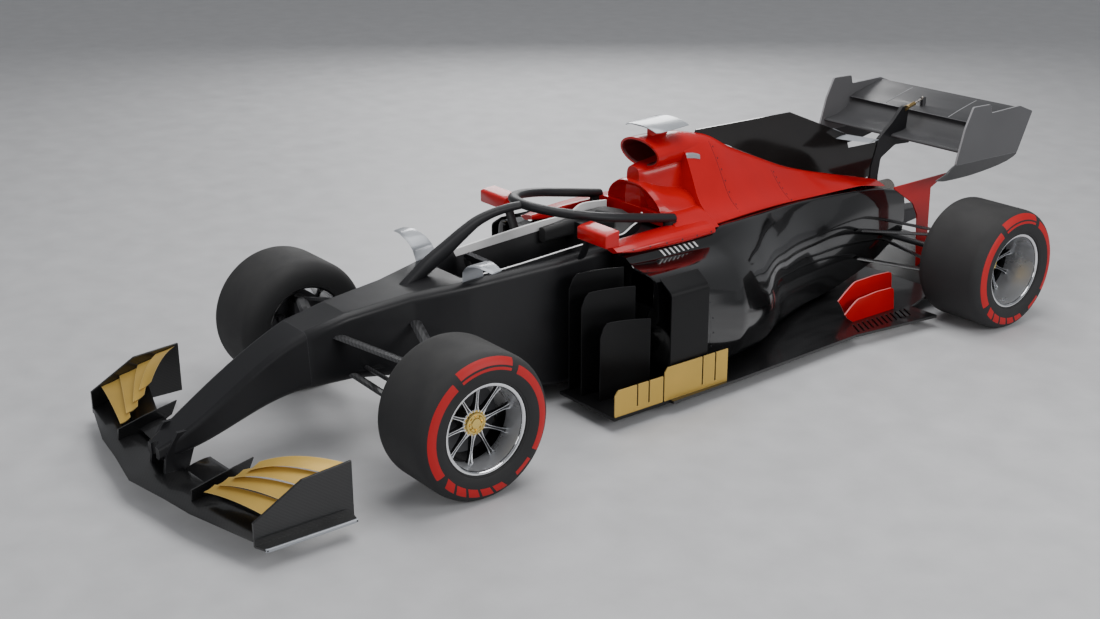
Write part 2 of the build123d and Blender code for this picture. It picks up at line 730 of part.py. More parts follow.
# Flap actuator: a barrel that swings on the pylon's pin, and its rod
reach = Vector(0, FLAP_EYE[0] - ACTUATOR_FOOT[0], FLAP_EYE[1] - ACTUATOR_FOOT[1])
foot_point = Vector(0, at(ACTUATOR_FOOT[0]), ACTUATOR_FOOT[1])
barrel_plane = Plane(origin=foot_point, x_dir=(1, 0, 0), z_dir=reach)
BARREL = (26, 90, 12)
ROD_RADIUS = 5.0
ROD_INNER = 42.0
FORK_INNER = NECK_THICKNESS / 2 + 0.5
FORK_THICKNESS = 4.0
with BuildPart() as flap_actuator:
    with BuildSketch(barrel_plane.offset(BARREL[0])):
        Circle(BARREL[2])
    extrude(amount=BARREL[1] - BARREL[0])
    with BuildSketch(barrel_plane.offset(BARREL[0] + 8)):
        Circle(ROD_RADIUS + RUNNING_FIT)
    extrude(amount=BARREL[1], mode=Mode.SUBTRACT)
    for x in (-FORK_INNER - FORK_THICKNESS, FORK_INNER):
        with BuildSketch(Plane(origin=foot_point, x_dir=reach, z_dir=(1, 0, 0)).offset(x)):
            with Locations((10, 0)):
                Rectangle(36, 18)
        extrude(amount=FORK_THICKNESS)
    with BuildSketch(Plane(origin=foot_point, x_dir=reach, z_dir=(1, 0, 0)).offset(-FORK_INNER - FORK_THICKNESS)):
        with Locations((BARREL[0] - 1, 0)):
            Rectangle(6, 18)
    extrude(amount=2 * (FORK_INNER + FORK_THICKNESS))
    with BuildSketch(side(-FORK_INNER - FORK_THICKNESS)):
        with Locations(ACTUATOR_FOOT):
            Circle(ACTUATOR_PIN_RADIUS)
    extrude(amount=2 * (FORK_INNER + FORK_THICKNESS))
save(flap_actuator, "flap_actuator")

FLAP_EYE_DRIFT = 2.4
with BuildPart() as flap_rod:
    with BuildSketch(barrel_plane.offset(ROD_INNER)):
        Circle(ROD_RADIUS)
    extrude(amount=reach.length - ROD_INNER - 6)
    with BuildSketch(side(-6)):
        with Locations(FLAP_EYE):
            Circle(10)
    extrude(amount=12)
    with BuildSketch(side(-6)):
        with Locations(FLAP_EYE):
            Circle(ACTUATOR_PIN_RADIUS + FLAP_EYE_DRIFT)
    extrude(amount=12, mode=Mode.SUBTRACT)
save(flap_rod, "flap_rod")

# Red fins. Columns: x, outline in stations and heights
RED_FIN_ROWS = [
    (572, [(2612, 70), (2612, 130), (2680, 180), (2860, 214), (3020, 214), (3036, 200), (3036, 70)]),
    (500, [(2655, 70), (2655, 190), (2740, 238), (2900, 268), (3060, 268), (3074, 254), (3074, 70)]),
    (250, [(3365, 640), (3365, 652), (3835, 656), (3710, 560), (3700, 120), (3620, 110), (3600, 540)]),
]
RED_FIN_THICKNESS = 9.0
with BuildPart() as red_fins:
    for x, points in RED_FIN_ROWS:
        with BuildSketch(side(x)):
            with BuildLine():
                Polyline(*points, close=True)
            make_face()
        extrude(amount=RED_FIN_THICKNESS)
    mirror(about=Plane.YZ)
    add(diffuser.part, mode=Mode.SUBTRACT)
    add(floor.part, mode=Mode.SUBTRACT)
save(red_fins, "red_fins")

# Wheels. Columns: name, side of the car, station, tyre inner x, tyre outer x, hub face x
WHEEL_ROWS = [
    ("front_left", 1, 0.0, FRONT_TYRE_IN, FRONT_TYRE_OUT, FRONT_HUB_X),
    ("front_right", -1, 0.0, FRONT_TYRE_IN, FRONT_TYRE_OUT, FRONT_HUB_X),
    ("rear_left", 1, WHEELBASE, REAR_TYRE_IN, REAR_TYRE_OUT, REAR_HUB_X),
    ("rear_right", -1, WHEELBASE, REAR_TYRE_IN, REAR_TYRE_OUT, REAR_HUB_X),
]
AXLE_END_GAP = 6.0
HUB_INNER = 66.0


def axle_plane(station):
    """Upright plane through an axle: local x is the car's X, local y the height over the axle."""
    return Plane(origin=(0, at(station), TYRE_RADIUS), x_dir=(1, 0, 0), z_dir=(0, -1, 0))


def axle_line(station):
    return Axis((0, at(station), TYRE_RADIUS), (1, 0, 0))


for name, hand, station, x_in, x_out, hub_x in WHEEL_ROWS:
    line = axle_line(station)
    seat = BEAD_RADIUS + TYRE_SEAT
    lip_x = x_out - RIM_LIP
    with BuildPart() as tyre:
        with BuildSketch(axle_plane(station)) as tyre_section:
            with BuildLine():
                Polyline(
                    (hand * (x_in + 12), seat), (hand * (x_out - 12), seat), (hand * x_out, seat + 52),
                    (hand * (x_out - 22), TYRE_RADIUS - 14), (hand * (x_out - 74), TYRE_RADIUS),
                    (hand * (x_in + 74), TYRE_RADIUS), (hand * (x_in + 22), TYRE_RADIUS - 14),
                    (hand * x_in, seat + 52), close=True,
                )
            make_face()
        revolve(axis=line)
    save(tyre, "tyre_" + name)

    with BuildPart() as rim:
        with BuildSketch(axle_plane(station)):
            with BuildLine():
                Polyline(
                    (hand * (x_in + 20), BEAD_RADIUS), (hand * lip_x, BEAD_RADIUS),
                    (hand * lip_x, BEAD_RADIUS - 6), (hand * hub_x, BEAD_RADIUS - RIM_WALL - 12),
                    (hand * (x_in + 20), BEAD_RADIUS - RIM_WALL), close=True,
                )
            make_face()
            with BuildLine():
                Polyline(
                    (hand * (hub_x - 14), AXLE_RADIUS - 8), (hand * (hub_x + 8), AXLE_RADIUS - 8),
                    (hand * hub_x, HUB_RADIUS), (hand * (hub_x - 4), BEAD_RADIUS - RIM_WALL - 11),
                    (hand * (hub_x - 26), BEAD_RADIUS - RIM_WALL - 10), (hand * (hub_x - 22), HUB_RADIUS),
                    (hand * (hub_x - HUB_INNER), HUB_RADIUS - 8), (hand * (hub_x - HUB_INNER), AXLE_RADIUS + RUNNING_FIT),
                    (hand * (hub_x - 14), AXLE_RADIUS + RUNNING_FIT), close=True,
                )
            make_face()
        revolve(axis=line)
        with BuildSketch(Plane(
            origin=(hand * (hub_x - 60), at(station), TYRE_RADIUS), x_dir=(0, 1, 0), z_dir=(hand, 0, 0),
        )):
            with PolarLocations(0, SPOKES):
                with BuildLine():
                    Polyline((72, 13), (72, -13), (182, -44), (187, 0), (182, 44), close=True)
                make_face()
        extrude(amount=90, mode=Mode.SUBTRACT)
        with BuildSketch(Plane(
            origin=(hand * (hub_x - 14.5), at(station), TYRE_RADIUS), x_dir=(0, 1, 0), z_dir=(hand, 0, 0),
        )):
            Circle(AXLE_RADIUS - 7.5)
        extrude(amount=30)
    save(rim, "rim_" + name)

# Front knuckles. The kingpin is upright; the stub axle carries the wheel, the arm takes the track rod
ARM_TOP_Z = 472.0
ARM_LOW_Z = 198.0
EYE_HALF = 11.0
EYE_RADIUS = 25.0
DRUM = (696, 782, 158)
for name, hand in (("left", 1), ("right", -1)):
    line = axle_line(0)
    with BuildPart() as knuckle:
        with BuildSketch(axle_plane(0)):
            with BuildLine():
                Polyline(
                    (hand * 690, 0), (hand * (FRONT_HUB_X - 20), 0), (hand * (FRONT_HUB_X - 20), AXLE_RADIUS),
                    (hand * DRUM[1], AXLE_RADIUS), (hand * DRUM[1], DRUM[2]), (hand * DRUM[0], DRUM[2]),
                    (hand * DRUM[0], 60), (hand * 690, 60), close=True,
                )
            make_face()
        revolve(axis=line)
        with BuildSketch(level(ARM_LOW_Z + EYE_HALF + 2)):
            with Locations((hand * (KINGPIN_X + 22), 0)):
                Rectangle(90, 84)
        extrude(amount=ARM_TOP_Z - ARM_LOW_Z - 2 * EYE_HALF - 4)
        with BuildSketch(level(ARM_LOW_Z - EYE_HALF)):
            with Locations((hand * KINGPIN_X, 0)):
                Circle(KINGPIN_RADIUS)
        extrude(amount=ARM_TOP_Z - ARM_LOW_Z + 2 * EYE_HALF)
        with BuildSketch(level(RACK_Z - 32)):
            with Locations((hand * KINGPIN_X, -STEER_ARM / 2 - 20)):
                Rectangle(28, STEER_ARM - 10)
        extrude(amount=16)
        with BuildSketch(level(RACK_Z - 32)):
            with Locations((hand * KINGPIN_X, -STEER_ARM)):
                Circle(6)
        extrude(amount=44)
    save(knuckle, "knuckle_" + name)

# Track rods, one bar that slides through the chassis, with an open eye at each end
EYE_DRIFT = 5.0
with BuildPart() as track_rods:
    add(tube((-KINGPIN_X + 15, -STEER_ARM, RACK_Z), (KINGPIN_X - 15, -STEER_ARM, RACK_Z), RACK_RADIUS))
    with BuildSketch(level(RACK_Z - 9)):
        with Locations((KINGPIN_X, -STEER_ARM), (-KINGPIN_X, -STEER_ARM)):
            Circle(22)
    extrude(amount=18)
    with BuildSketch(level(RACK_Z - 9)):
        with Locations((KINGPIN_X, -STEER_ARM), (-KINGPIN_X, -STEER_ARM)):
            Circle(6 + EYE_DRIFT)
    extrude(amount=18, mode=Mode.SUBTRACT)
save(track_rods, "track_rods")

# Front wishbones. Columns: eye height, front pivot, back pivot, chord, thickness
WISHBONE_ROWS = [
    (ARM_TOP_Z, (120, -230, 560), (120, 170, 560), 58, 16),
    (ARM_LOW_Z, (120, -190, 385), (150, 230, 330), 46, 14),
]
with BuildPart() as front_wishbones:
    for eye_z, front, back, chord, thick in WISHBONE_ROWS:
        for pivot in (front, back):
            add(blade((KINGPIN_X - 14, 0, eye_z), pivot, chord, thick))
        with BuildSketch(level(eye_z - EYE_HALF)):
            with Locations((KINGPIN_X, 0)):
                Circle(EYE_RADIUS)
        extrude(amount=2 * EYE_HALF)
        with BuildSketch(level(eye_z - 40)):
            with Locations((KINGPIN_X, 0)):
                Circle(KINGPIN_RADIUS + RUNNING_FIT)
        extrude(amount=80, mode=Mode.SUBTRACT)
    add(monocoque.part, mode=Mode.SUBTRACT)
    mirror(about=Plane.YZ)
save(front_wishbones, "front_wishbones")

# Rear uprights with stub axles, and the rear wishbones and driveshafts that carry them
REAR_UPRIGHT = (700, 760)
with BuildPart() as rear_uprights:
    with BuildSketch(axle_plane(WHEELBASE)):
        with BuildLine():
            Polyline(
                (REAR_UPRIGHT[0], 0), (REAR_HUB_X - 20, 0), (REAR_HUB_X - 20, AXLE_RADIUS),
                (REAR_UPRIGHT[1] + 40, AXLE_RADIUS), (REAR_UPRIGHT[1] + 40, 158), (REAR_UPRIGHT[1] - 20, 158),
                (REAR_UPRIGHT[1] - 20, 60), (REAR_UPRIGHT[0], 60), close=True,
            )
        make_face()
    revolve(axis=axle_line(WHEELBASE))
    with BuildSketch(side(REAR_UPRIGHT[0])):
        with Locations((WHEELBASE, TYRE_RADIUS)):
            RectangleRounded(100, 290, 20)
    extrude(amount=40)
    mirror(about=Plane.YZ)
save(rear_uprights, "rear_uprights")

DRIVESHAFT_RADIUS = 17.0
# Columns: outer point, inner point, chord, thickness
REAR_ARM_ROWS = [
    ((700, 3450, 450), (80, 3110, 400), 52, 14),
    ((700, 3450, 450), (80, 3465, 400), 36, 14),
    ((700, 3450, 215), (80, 3100, 250), 48, 14),
    ((700, 3450, 215), (70, 3465, 290), 36, 14),
]
with BuildPart() as rear_wishbones:
    for outer, inner, chord, thick in REAR_ARM_ROWS:
        add(blade(outer, inner, chord, thick))
    add(tube((700, WHEELBASE, TYRE_RADIUS), (60, 3420, TYRE_RADIUS), DRIVESHAFT_RADIUS))
    mirror(about=Plane.YZ)
    add(gearbox.part, mode=Mode.SUBTRACT)
    add(sidepods.part, mode=Mode.SUBTRACT)
    add(rear_uprights.part, mode=Mode.SUBTRACT)
save(rear_wishbones, "rear_wishbones")
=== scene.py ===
import json
from math import cos, pi, radians, sin, tau

import bmesh
import bpy
from mathutils import Euler, Matrix, Vector
from mathutils.bvhtree import BVHTree


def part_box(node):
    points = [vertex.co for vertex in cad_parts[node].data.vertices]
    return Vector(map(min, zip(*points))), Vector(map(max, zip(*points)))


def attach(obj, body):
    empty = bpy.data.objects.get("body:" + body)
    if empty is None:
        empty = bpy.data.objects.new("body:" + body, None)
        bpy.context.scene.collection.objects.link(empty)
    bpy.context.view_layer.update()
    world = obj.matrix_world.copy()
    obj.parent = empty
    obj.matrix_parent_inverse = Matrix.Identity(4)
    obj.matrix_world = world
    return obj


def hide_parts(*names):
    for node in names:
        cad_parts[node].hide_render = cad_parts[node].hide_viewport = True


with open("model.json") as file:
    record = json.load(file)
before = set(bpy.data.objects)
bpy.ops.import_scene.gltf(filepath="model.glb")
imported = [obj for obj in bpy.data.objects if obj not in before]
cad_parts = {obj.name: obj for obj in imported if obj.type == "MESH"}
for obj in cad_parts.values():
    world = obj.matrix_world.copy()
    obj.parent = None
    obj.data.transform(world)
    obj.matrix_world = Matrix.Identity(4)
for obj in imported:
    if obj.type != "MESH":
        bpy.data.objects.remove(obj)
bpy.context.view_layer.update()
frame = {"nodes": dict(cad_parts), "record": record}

# Open wheel racing car. Lengths are millimetres until a mesh is made. +Z is up, the nose points to -Y and +X
# is the driver's left. Stations are counted rearwards from the front axle. A hand is 1 on the left and -1 on
# the right, and outlines are written for the left.
MM = 0.001
NODES = frame["nodes"]
SLOT_OF = {row["node"]: row["material_slot"] for row in frame["record"]["subparts"]}
HANDS = (-1, 1)


def corners(node):
    """Lowest and highest corner of a CAD node in millimetres."""
    low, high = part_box(node)
    return Vector(low) / MM, Vector(high) / MM


TYRE_LOW, TYRE_HIGH = corners("tyre_front_left")
TYRE_RADIUS = (TYRE_HIGH.z - TYRE_LOW.z) / 2
FRONT_AXLE_Y = (TYRE_LOW.y + TYRE_HIGH.y) / 2


def at(station):
    """Y of a station."""
    return FRONT_AXLE_Y + station


# Shader helpers


def node(tree, kind, **settings):
    """A new shader node with its settings."""
    made = tree.nodes.new("ShaderNode" + kind)
    for key, value in settings.items():
        setattr(made, key, value)
    return made


def set_values(made, **values):
    """Sets plain values on a node's own sockets, named with underscores for spaces."""
    for label, value in values.items():
        made.inputs[label.replace("_", " ")].default_value = value


def feed(tree, value, socket):
    """Gives an input socket a link, a colour or a number."""
    if isinstance(value, bpy.types.NodeSocket):
        tree.links.new(value, socket)
    elif isinstance(value, tuple):
        socket.default_value = (*value, 1)
    else:
        socket.default_value = value


def math_node(tree, operation, *values):
    """A math node whose inputs are sockets or numbers. Returns its output."""
    made = node(tree, "Math", operation=operation)
    for socket, value in zip(made.inputs, values):
        feed(tree, value, socket)
    return made.outputs[0]


def blend_colours(tree, factor, first, second):
    """Mixes two colours by a mask socket. Returns the mixed colour."""
    mix = node(tree, "Mix", data_type="RGBA")
    tree.links.new(factor, mix.inputs["Factor"])
    for label, value in (("A", first), ("B", second)):
        feed(tree, value, [s for s in mix.inputs if s.name == label and s.type == "RGBA"][0])
    return [s for s in mix.outputs if s.type == "RGBA"][0]


def noise_over(tree, scale, stretch=None):
    """Noise over the object's own coordinates, its scale fed by a socket. Returns the noise node."""
    spread = node(tree, "TexCoord").outputs["Object"]
    if stretch:
        mapping = node(tree, "Mapping")
        mapping.inputs["Scale"].default_value = stretch
        tree.links.new(spread, mapping.inputs["Vector"])
        spread = mapping.outputs[0]
    noise = node(tree, "TexNoise")
    tree.links.new(spread, noise.inputs["Vector"])
    tree.links.new(scale, noise.inputs["Scale"])
    return noise


def raised(tree, height, relief, strength):
    """The normal of a surface raised by a height socket, with the relief in metres. Returns its output."""
    bump = node(tree, "Bump")
    bump.inputs["Distance"].default_value = relief
    feed(tree, strength, bump.inputs["Strength"])
    tree.links.new(height, bump.inputs["Height"])
    return bump.outputs["Normal"]


# Effects shared by the finishes


def effect(name, inputs, outputs):
    """An empty effect: a node group with named sockets. Returns the tree, its input and its output node."""
    tree = bpy.data.node_groups.new(name, "ShaderNodeTree")
    for label, value in inputs:
        tree.interface.new_socket(label, in_out="INPUT", socket_type="NodeSocketFloat").default_value = value
    for label, kind in outputs:
        tree.interface.new_socket(label, in_out="OUTPUT", socket_type="NodeSocket" + kind)
    return tree, tree.nodes.new("NodeGroupInput"), tree.nodes.new("NodeGroupOutput")


def place(tree, group, **values):
    """Places an effect in a material, with its own values."""
    made = tree.nodes.new("ShaderNodeGroup")
    made.node_tree = group
    set_values(made, **values)
    return made


CLOUD_DETAIL = 4
CLOUD_LOW = 0.3
CLOUD_HIGH = 0.7


def make_variation():
    """A cloudy value between Low and High, for roughness and tone."""
    tree, given, out = effect(
        "cloudy_variation",
        [("Scale", 6.0), ("Low", 0.3), ("High", 0.5)],
        [("Value", "Float"), ("Mask", "Float")],
    )
    clouds = noise_over(tree, given.outputs["Scale"])
    clouds.inputs["Detail"].default_value = CLOUD_DETAIL
    spread = node(tree, "MapRange")
    set_values(spread, From_Min=CLOUD_LOW, From_Max=CLOUD_HIGH)
    tree.links.new(clouds.outputs[0], spread.inputs["Value"])
    tree.links.new(given.outputs["Low"], spread.inputs["To Min"])
    tree.links.new(given.outputs["High"], spread.inputs["To Max"])
    tree.links.new(spread.outputs["Result"], out.inputs["Value"])
    tree.links.new(clouds.outputs[0], out.inputs["Mask"])
    return tree


GRAIN_RELIEF = 0.0006


def make_fine_grain():
    """Fine even grain as a normal: the orange peel of paint, or the skin of rubber and foam."""
    tree, given, out = effect(
        "fine_grain", [("Scale", 400.0), ("Depth", 0.1), ("Detail", 2.0)], [("Normal", "Vector")],
    )
    grain = noise_over(tree, given.outputs["Scale"])
    tree.links.new(given.outputs["Detail"], grain.inputs["Detail"])
    tree.links.new(raised(tree, grain.outputs[0], GRAIN_RELIEF, given.outputs["Depth"]), out.inputs["Normal"])
    return tree


EDGE_SAMPLES = 4


def make_painted_edge_highlight():
    """A mask of the outer edges, where a painted highlight is laid on the coat. Width is in metres."""
    tree, given, out = effect("painted_edge_highlight", [("Width", 0.004), ("Gain", 3.0)], [("Mask", "Float")])
    rounded_edge = node(tree, "Bevel", samples=EDGE_SAMPLES)
    tree.links.new(given.outputs["Width"], rounded_edge.inputs["Radius"])
    geometry = node(tree, "NewGeometry")
    turn = node(tree, "VectorMath", operation="DOT_PRODUCT")
    tree.links.new(rounded_edge.outputs["Normal"], turn.inputs[0])
    tree.links.new(geometry.outputs["Normal"], turn.inputs[1])
    bent = math_node(tree, "SUBTRACT", 1.0, turn.outputs["Value"])
    kept = node(tree, "Clamp")
    tree.links.new(math_node(tree, "MULTIPLY", bent, given.outputs["Gain"]), kept.inputs["Value"])
    tree.links.new(kept.outputs[0], out.inputs["Mask"])
    return tree


# Twill: how the weft leans with height, tows in a repeat, and the share of a repeat that runs under
WEFT_LEAN = 0.37
TWILL_REPEAT = 4
UNDER_SHARE = 0.45


def make_twill():
    """Woven carbon: tows that go over and under each other in a stepped twill."""
    tree, given, out = effect("woven_twill", [("Scale", 180.0)], [("Mask", "Float"), ("Height", "Float")])
    split = node(tree, "SeparateXYZ")
    tree.links.new(node(tree, "TexCoord").outputs["Object"], split.inputs[0])
    warp_place = math_node(tree, "ADD", split.outputs["X"], split.outputs["Z"])
    warp = math_node(tree, "MULTIPLY", warp_place, given.outputs["Scale"])
    weft_lean = math_node(tree, "MULTIPLY", split.outputs["Z"], WEFT_LEAN)
    weft_place = math_node(tree, "ADD", split.outputs["Y"], weft_lean)
    weft = math_node(tree, "MULTIPLY", weft_place, given.outputs["Scale"])
    step = math_node(tree, "ADD", math_node(tree, "FLOOR", warp), math_node(tree, "FLOOR", weft))
    repeat = math_node(tree, "FRACT", math_node(tree, "MULTIPLY", step, 1 / TWILL_REPEAT))
    over = math_node(tree, "GREATER_THAN", repeat, UNDER_SHARE)
    height = node(tree, "Mix", data_type="FLOAT")
    tree.links.new(over, height.inputs["Factor"])
    tree.links.new(math_node(tree, "PINGPONG", warp, 0.5), height.inputs[2])
    tree.links.new(math_node(tree, "PINGPONG", weft, 0.5), height.inputs[3])
    tree.links.new(over, out.inputs["Mask"])
    tree.links.new(height.outputs[0], out.inputs["Height"])
    return tree


DUST_DETAIL = 6


def make_dust():
    """Fine dust that has settled on what faces up."""
    tree, given, out = effect("settled_dust", [("Amount", 0.3), ("Scale", 9.0)], [("Mask", "Float")])
    split = node(tree, "SeparateXYZ")
    tree.links.new(node(tree, "NewGeometry").outputs["Normal"], split.inputs[0])
    facing_up = node(tree, "Clamp")
    tree.links.new(split.outputs["Z"], facing_up.inputs["Value"])
    clouds = noise_over(tree, given.outputs["Scale"])
    clouds.inputs["Detail"].default_value = DUST_DETAIL
    settled = math_node(tree, "MULTIPLY", facing_up.outputs[0], clouds.outputs[0])
    tree.links.new(math_node(tree, "MULTIPLY", settled, given.outputs["Amount"]), out.inputs["Mask"])
    return tree


LINE_RELIEF = 0.0004
LINE_STRETCH = (1.0, 0.06, 0.06)


def make_turned_lines():
    """Fine lines of a turned or brushed metal."""
    tree, given, out = effect("turned_lines", [("Scale", 300.0), ("Depth", 0.1)], [("Normal", "Vector")])
    lines = noise_over(tree, given.outputs["Scale"], LINE_STRETCH)
    tree.links.new(raised(tree, lines.outputs[0], LINE_RELIEF, given.outputs["Depth"]), out.inputs["Normal"])
    return tree


VARIATION = make_variation()
FINE_GRAIN = make_fine_grain()
PAINTED_EDGE_HIGHLIGHT = make_painted_edge_highlight()
TWILL = make_twill()
DUST = make_dust()
TURNED = make_turned_lines()


# Finishes


def new_finish(name):
    """A new material. Returns it with its tree and its shader."""
    material = bpy.data.materials.new(name)
    material.use_nodes = True
    return material, material.node_tree, material.node_tree.nodes["Principled BSDF"]


def cloudy_tone(tree, shader, scale, low, high, first, second):
    """Varies the roughness between low and high, and a colour between first and second. Returns the colour."""
    cloud = place(tree, VARIATION, Scale=scale, Low=low, High=high)
    tree.links.new(cloud.outputs["Value"], shader.inputs["Roughness"])
    return blend_colours(tree, cloud.outputs["Mask"], first, second)


COAT_CLOUDS = 5.0
COAT_SPREAD = 0.14
COAT_ROUGHNESS = 0.04
# Width and strength of the painted highlight along the edges
EDGE_HIGHLIGHT_WIDTH = 0.004
EDGE_HIGHLIGHT_GAIN = 3.0
DUST_CLOUDS = 9.0
DUST_TONE = (0.30, 0.29, 0.27)


def coat(name, colour, low, high, grain=(420.0, 0.08), clear=0.0, metal=0.0, edge=None, dust=0.0, shine=0.5):
    """A painted or moulded surface. Its tone varies, its skin has a grain, and its edges may get a painted
    highlight.
    """
    material, tree, shader = new_finish(name)
    darker = tuple(c * (1 - COAT_SPREAD) for c in colour)
    lighter = tuple(min(1.0, c * (1 + COAT_SPREAD)) for c in colour)
    tone = cloudy_tone(tree, shader, COAT_CLOUDS, low, high, darker, lighter)
    # Painted highlight: the tone blends towards the lighter edge colour along the edges
    if edge:
        edge_highlight_mask = place(tree, PAINTED_EDGE_HIGHLIGHT, Width=EDGE_HIGHLIGHT_WIDTH, Gain=EDGE_HIGHLIGHT_GAIN)
        tone = blend_colours(tree, edge_highlight_mask.outputs["Mask"], tone, edge)
    if dust:
        settled = place(tree, DUST, Amount=dust, Scale=DUST_CLOUDS)
        tone = blend_colours(tree, settled.outputs["Mask"], tone, DUST_TONE)
    tree.links.new(tone, shader.inputs["Base Color"])
    skin = place(tree, FINE_GRAIN, Scale=grain[0], Depth=grain[1])
    tree.links.new(skin.outputs["Normal"], shader.inputs["Normal"])
    set_values(shader, Metallic=metal, Specular_IOR_Level=shine)
    set_values(shader, Coat_Weight=clear, Coat_Roughness=COAT_ROUGHNESS)
    return material


WEAVE_SCALE = 190.0
WEAVE_CLOUDS = (7.0, 0.28, 0.42)
WEAVE_RELIEF = 0.0003
WEAVE_DEPTH = 0.25
LACQUER_ROUGHNESS = 0.06


def woven(name, dark, light, clear):
    """Lacquered woven carbon."""
    material, tree, shader = new_finish(name)
    weave = place(tree, TWILL, Scale=WEAVE_SCALE)
    tree.links.new(blend_colours(tree, weave.outputs["Mask"], dark, light), shader.inputs["Base Color"])
    scale, low, high = WEAVE_CLOUDS
    cloud = place(tree, VARIATION, Scale=scale, Low=low, High=high)
    tree.links.new(cloud.outputs["Value"], shader.inputs["Roughness"])
    normal = raised(tree, weave.outputs["Height"], WEAVE_RELIEF, WEAVE_DEPTH)
    tree.links.new(normal, shader.inputs["Normal"])
    set_values(shader, Coat_Weight=clear, Coat_Roughness=LACQUER_ROUGHNESS)
    return material


METAL_CLOUDS = 18.0
METAL_DULLING = 0.82


def bare_metal(name, colour, low, high, lines=(300.0, 0.12)):
    """Bare or plated metal with the fine lines of its making."""
    material, tree, shader = new_finish(name)
    duller = tuple(c * METAL_DULLING for c in colour)
    tone = cloudy_tone(tree, shader, METAL_CLOUDS, low, high, duller, colour)
    tree.links.new(tone, shader.inputs["Base Color"])
    turned = place(tree, TURNED, Scale=lines[0], Depth=lines[1])
    tree.links.new(turned.outputs["Normal"], shader.inputs["Normal"])
    set_values(shader, Metallic=1.0)
    return material


def smoked_sheet():
    """Dark see-through sheet of the fin."""
    material, tree, shader = new_finish("smoked_sheet")
    tone = cloudy_tone(tree, shader, 4.0, 0.05, 0.12, (0.010, 0.009, 0.009), (0.020, 0.017, 0.016))
    tree.links.new(tone, shader.inputs["Base Color"])
    set_values(shader, Transmission_Weight=0.35, IOR=1.45)
    return material


def lamp_red():
    """Red lens of the rear light."""
    material = coat("lamp_red", (0.55, 0.01, 0.01), 0.1, 0.2, clear=1.0)
    shader = material.node_tree.nodes["Principled BSDF"]
    set_values(shader, Emission_Color=(1.0, 0.05, 0.03, 1), Emission_Strength=0.25)
    return material


# Finish of each material slot. The edge colours are painted highlights blended into the edges.
FINISH = {
    "dark_panel": coat(
        "satin_dark_paint", (0.011, 0.011, 0.0125), 0.34, 0.46, edge=(0.05, 0.05, 0.055), shine=0.35,
    ),
    "halo_coat": coat("halo_satin_coat", (0.016, 0.016, 0.018), 0.38, 0.52, shine=0.3),
    "rim_pad": coat("black_padding", (0.020, 0.020, 0.021), 0.62, 0.80, grain=(900.0, 0.45)),
    "pale_trim": coat("pale_trim_coat", (0.86, 0.86, 0.86), 0.36, 0.50, grain=(500.0, 0.10)),
    "seat_shell": woven("seat_carbon", (0.012, 0.012, 0.013), (0.045, 0.046, 0.050), 0.3),
    "dark_metal": coat("dark_anodised_metal", (0.05, 0.05, 0.055), 0.30, 0.44, metal=0.7),
    "red_paint": coat(
        "red_clear_coat", (0.52, 0.001, 0.003), 0.32, 0.42, clear=0.35, edge=(0.74, 0.06, 0.06), shine=0.3,
    ),
    "grey_panel": coat("silver_grey_paint", (0.40, 0.42, 0.45), 0.28, 0.40, metal=0.35, clear=0.4),
    "smoked_fin": smoked_sheet(),
    "gloss_black": coat(
        "gloss_black_lacquer", (0.0030, 0.0030, 0.0034), 0.09, 0.16, grain=(300.0, 0.03), clear=1.0,
    ),
    "carbon": woven("lacquered_carbon", (0.003, 0.003, 0.0035), (0.0075, 0.0075, 0.008), 0.5),
    "plank_board": coat("plank_board", (0.10, 0.075, 0.05), 0.55, 0.75, grain=(160.0, 0.4)),
    "cast_metal": coat("cast_casing", (0.09, 0.09, 0.095), 0.45, 0.60, grain=(700.0, 0.5), metal=0.8),
    "steel": bare_metal("heat_tinted_steel", (0.52, 0.47, 0.42), 0.22, 0.36),
    "gold_paint": coat(
        "gold_satin_paint", (0.62, 0.40, 0.085), 0.36, 0.48, metal=0.45, edge=(0.86, 0.66, 0.28),
    ),
    "arm_coat": woven("arm_carbon", (0.014, 0.014, 0.015), (0.040, 0.040, 0.043), 0.35),
    "wing_grey": coat(
        "wing_grey_coat", (0.062, 0.062, 0.065), 0.42, 0.54, edge=(0.16, 0.16, 0.17), shine=0.35,
    ),
    "brass": bare_metal("brass_sleeve", (0.72, 0.50, 0.20), 0.20, 0.34),
    "tyre": coat("tyre_rubber", (0.020, 0.020, 0.021), 0.72, 0.88, grain=(1100.0, 0.5), dust=0.10),
    "rim_metal": bare_metal("polished_rim", (0.86, 0.87, 0.89), 0.07, 0.16, lines=(500.0, 0.05)),
}
# Finishes of smaller areas
RED_BAND = coat("sidewall_red", (0.50, 0.002, 0.004), 0.50, 0.64, grain=(900.0, 0.25))
RIM_BLACK = coat("rim_black_lacquer", (0.010, 0.010, 0.011), 0.12, 0.22, clear=0.6)
# Painted shade: a darker red stands for the shade inside the intake's bore.
DUCT_SHADE_RED = coat("duct_painted_shade_red", (0.10, 0.003, 0.004), 0.45, 0.60)
# Painted highlight on the rims of the rear wing endplates; also the colour of the rear flap's slot lines.
PALE_HIGHLIGHT_AND_SLOT = coat("pale_highlight_and_slot_line", (0.30, 0.30, 0.31), 0.35, 0.50)
# The edge colours of the endplate grey and the vane black are painted highlights.
PLATE_GREY = coat("endplate_grey", (0.115, 0.115, 0.12), 0.45, 0.56, edge=(0.30, 0.30, 0.31), shine=0.3)
VANE_BLACK = coat("vane_black", (0.0045, 0.0045, 0.005), 0.36, 0.48, edge=(0.03, 0.03, 0.033), shine=0.25)
BARREL_SILVER = coat("barrel_silver", (0.72, 0.73, 0.75), 0.24, 0.34, grain=(600.0, 0.05), metal=0.7)
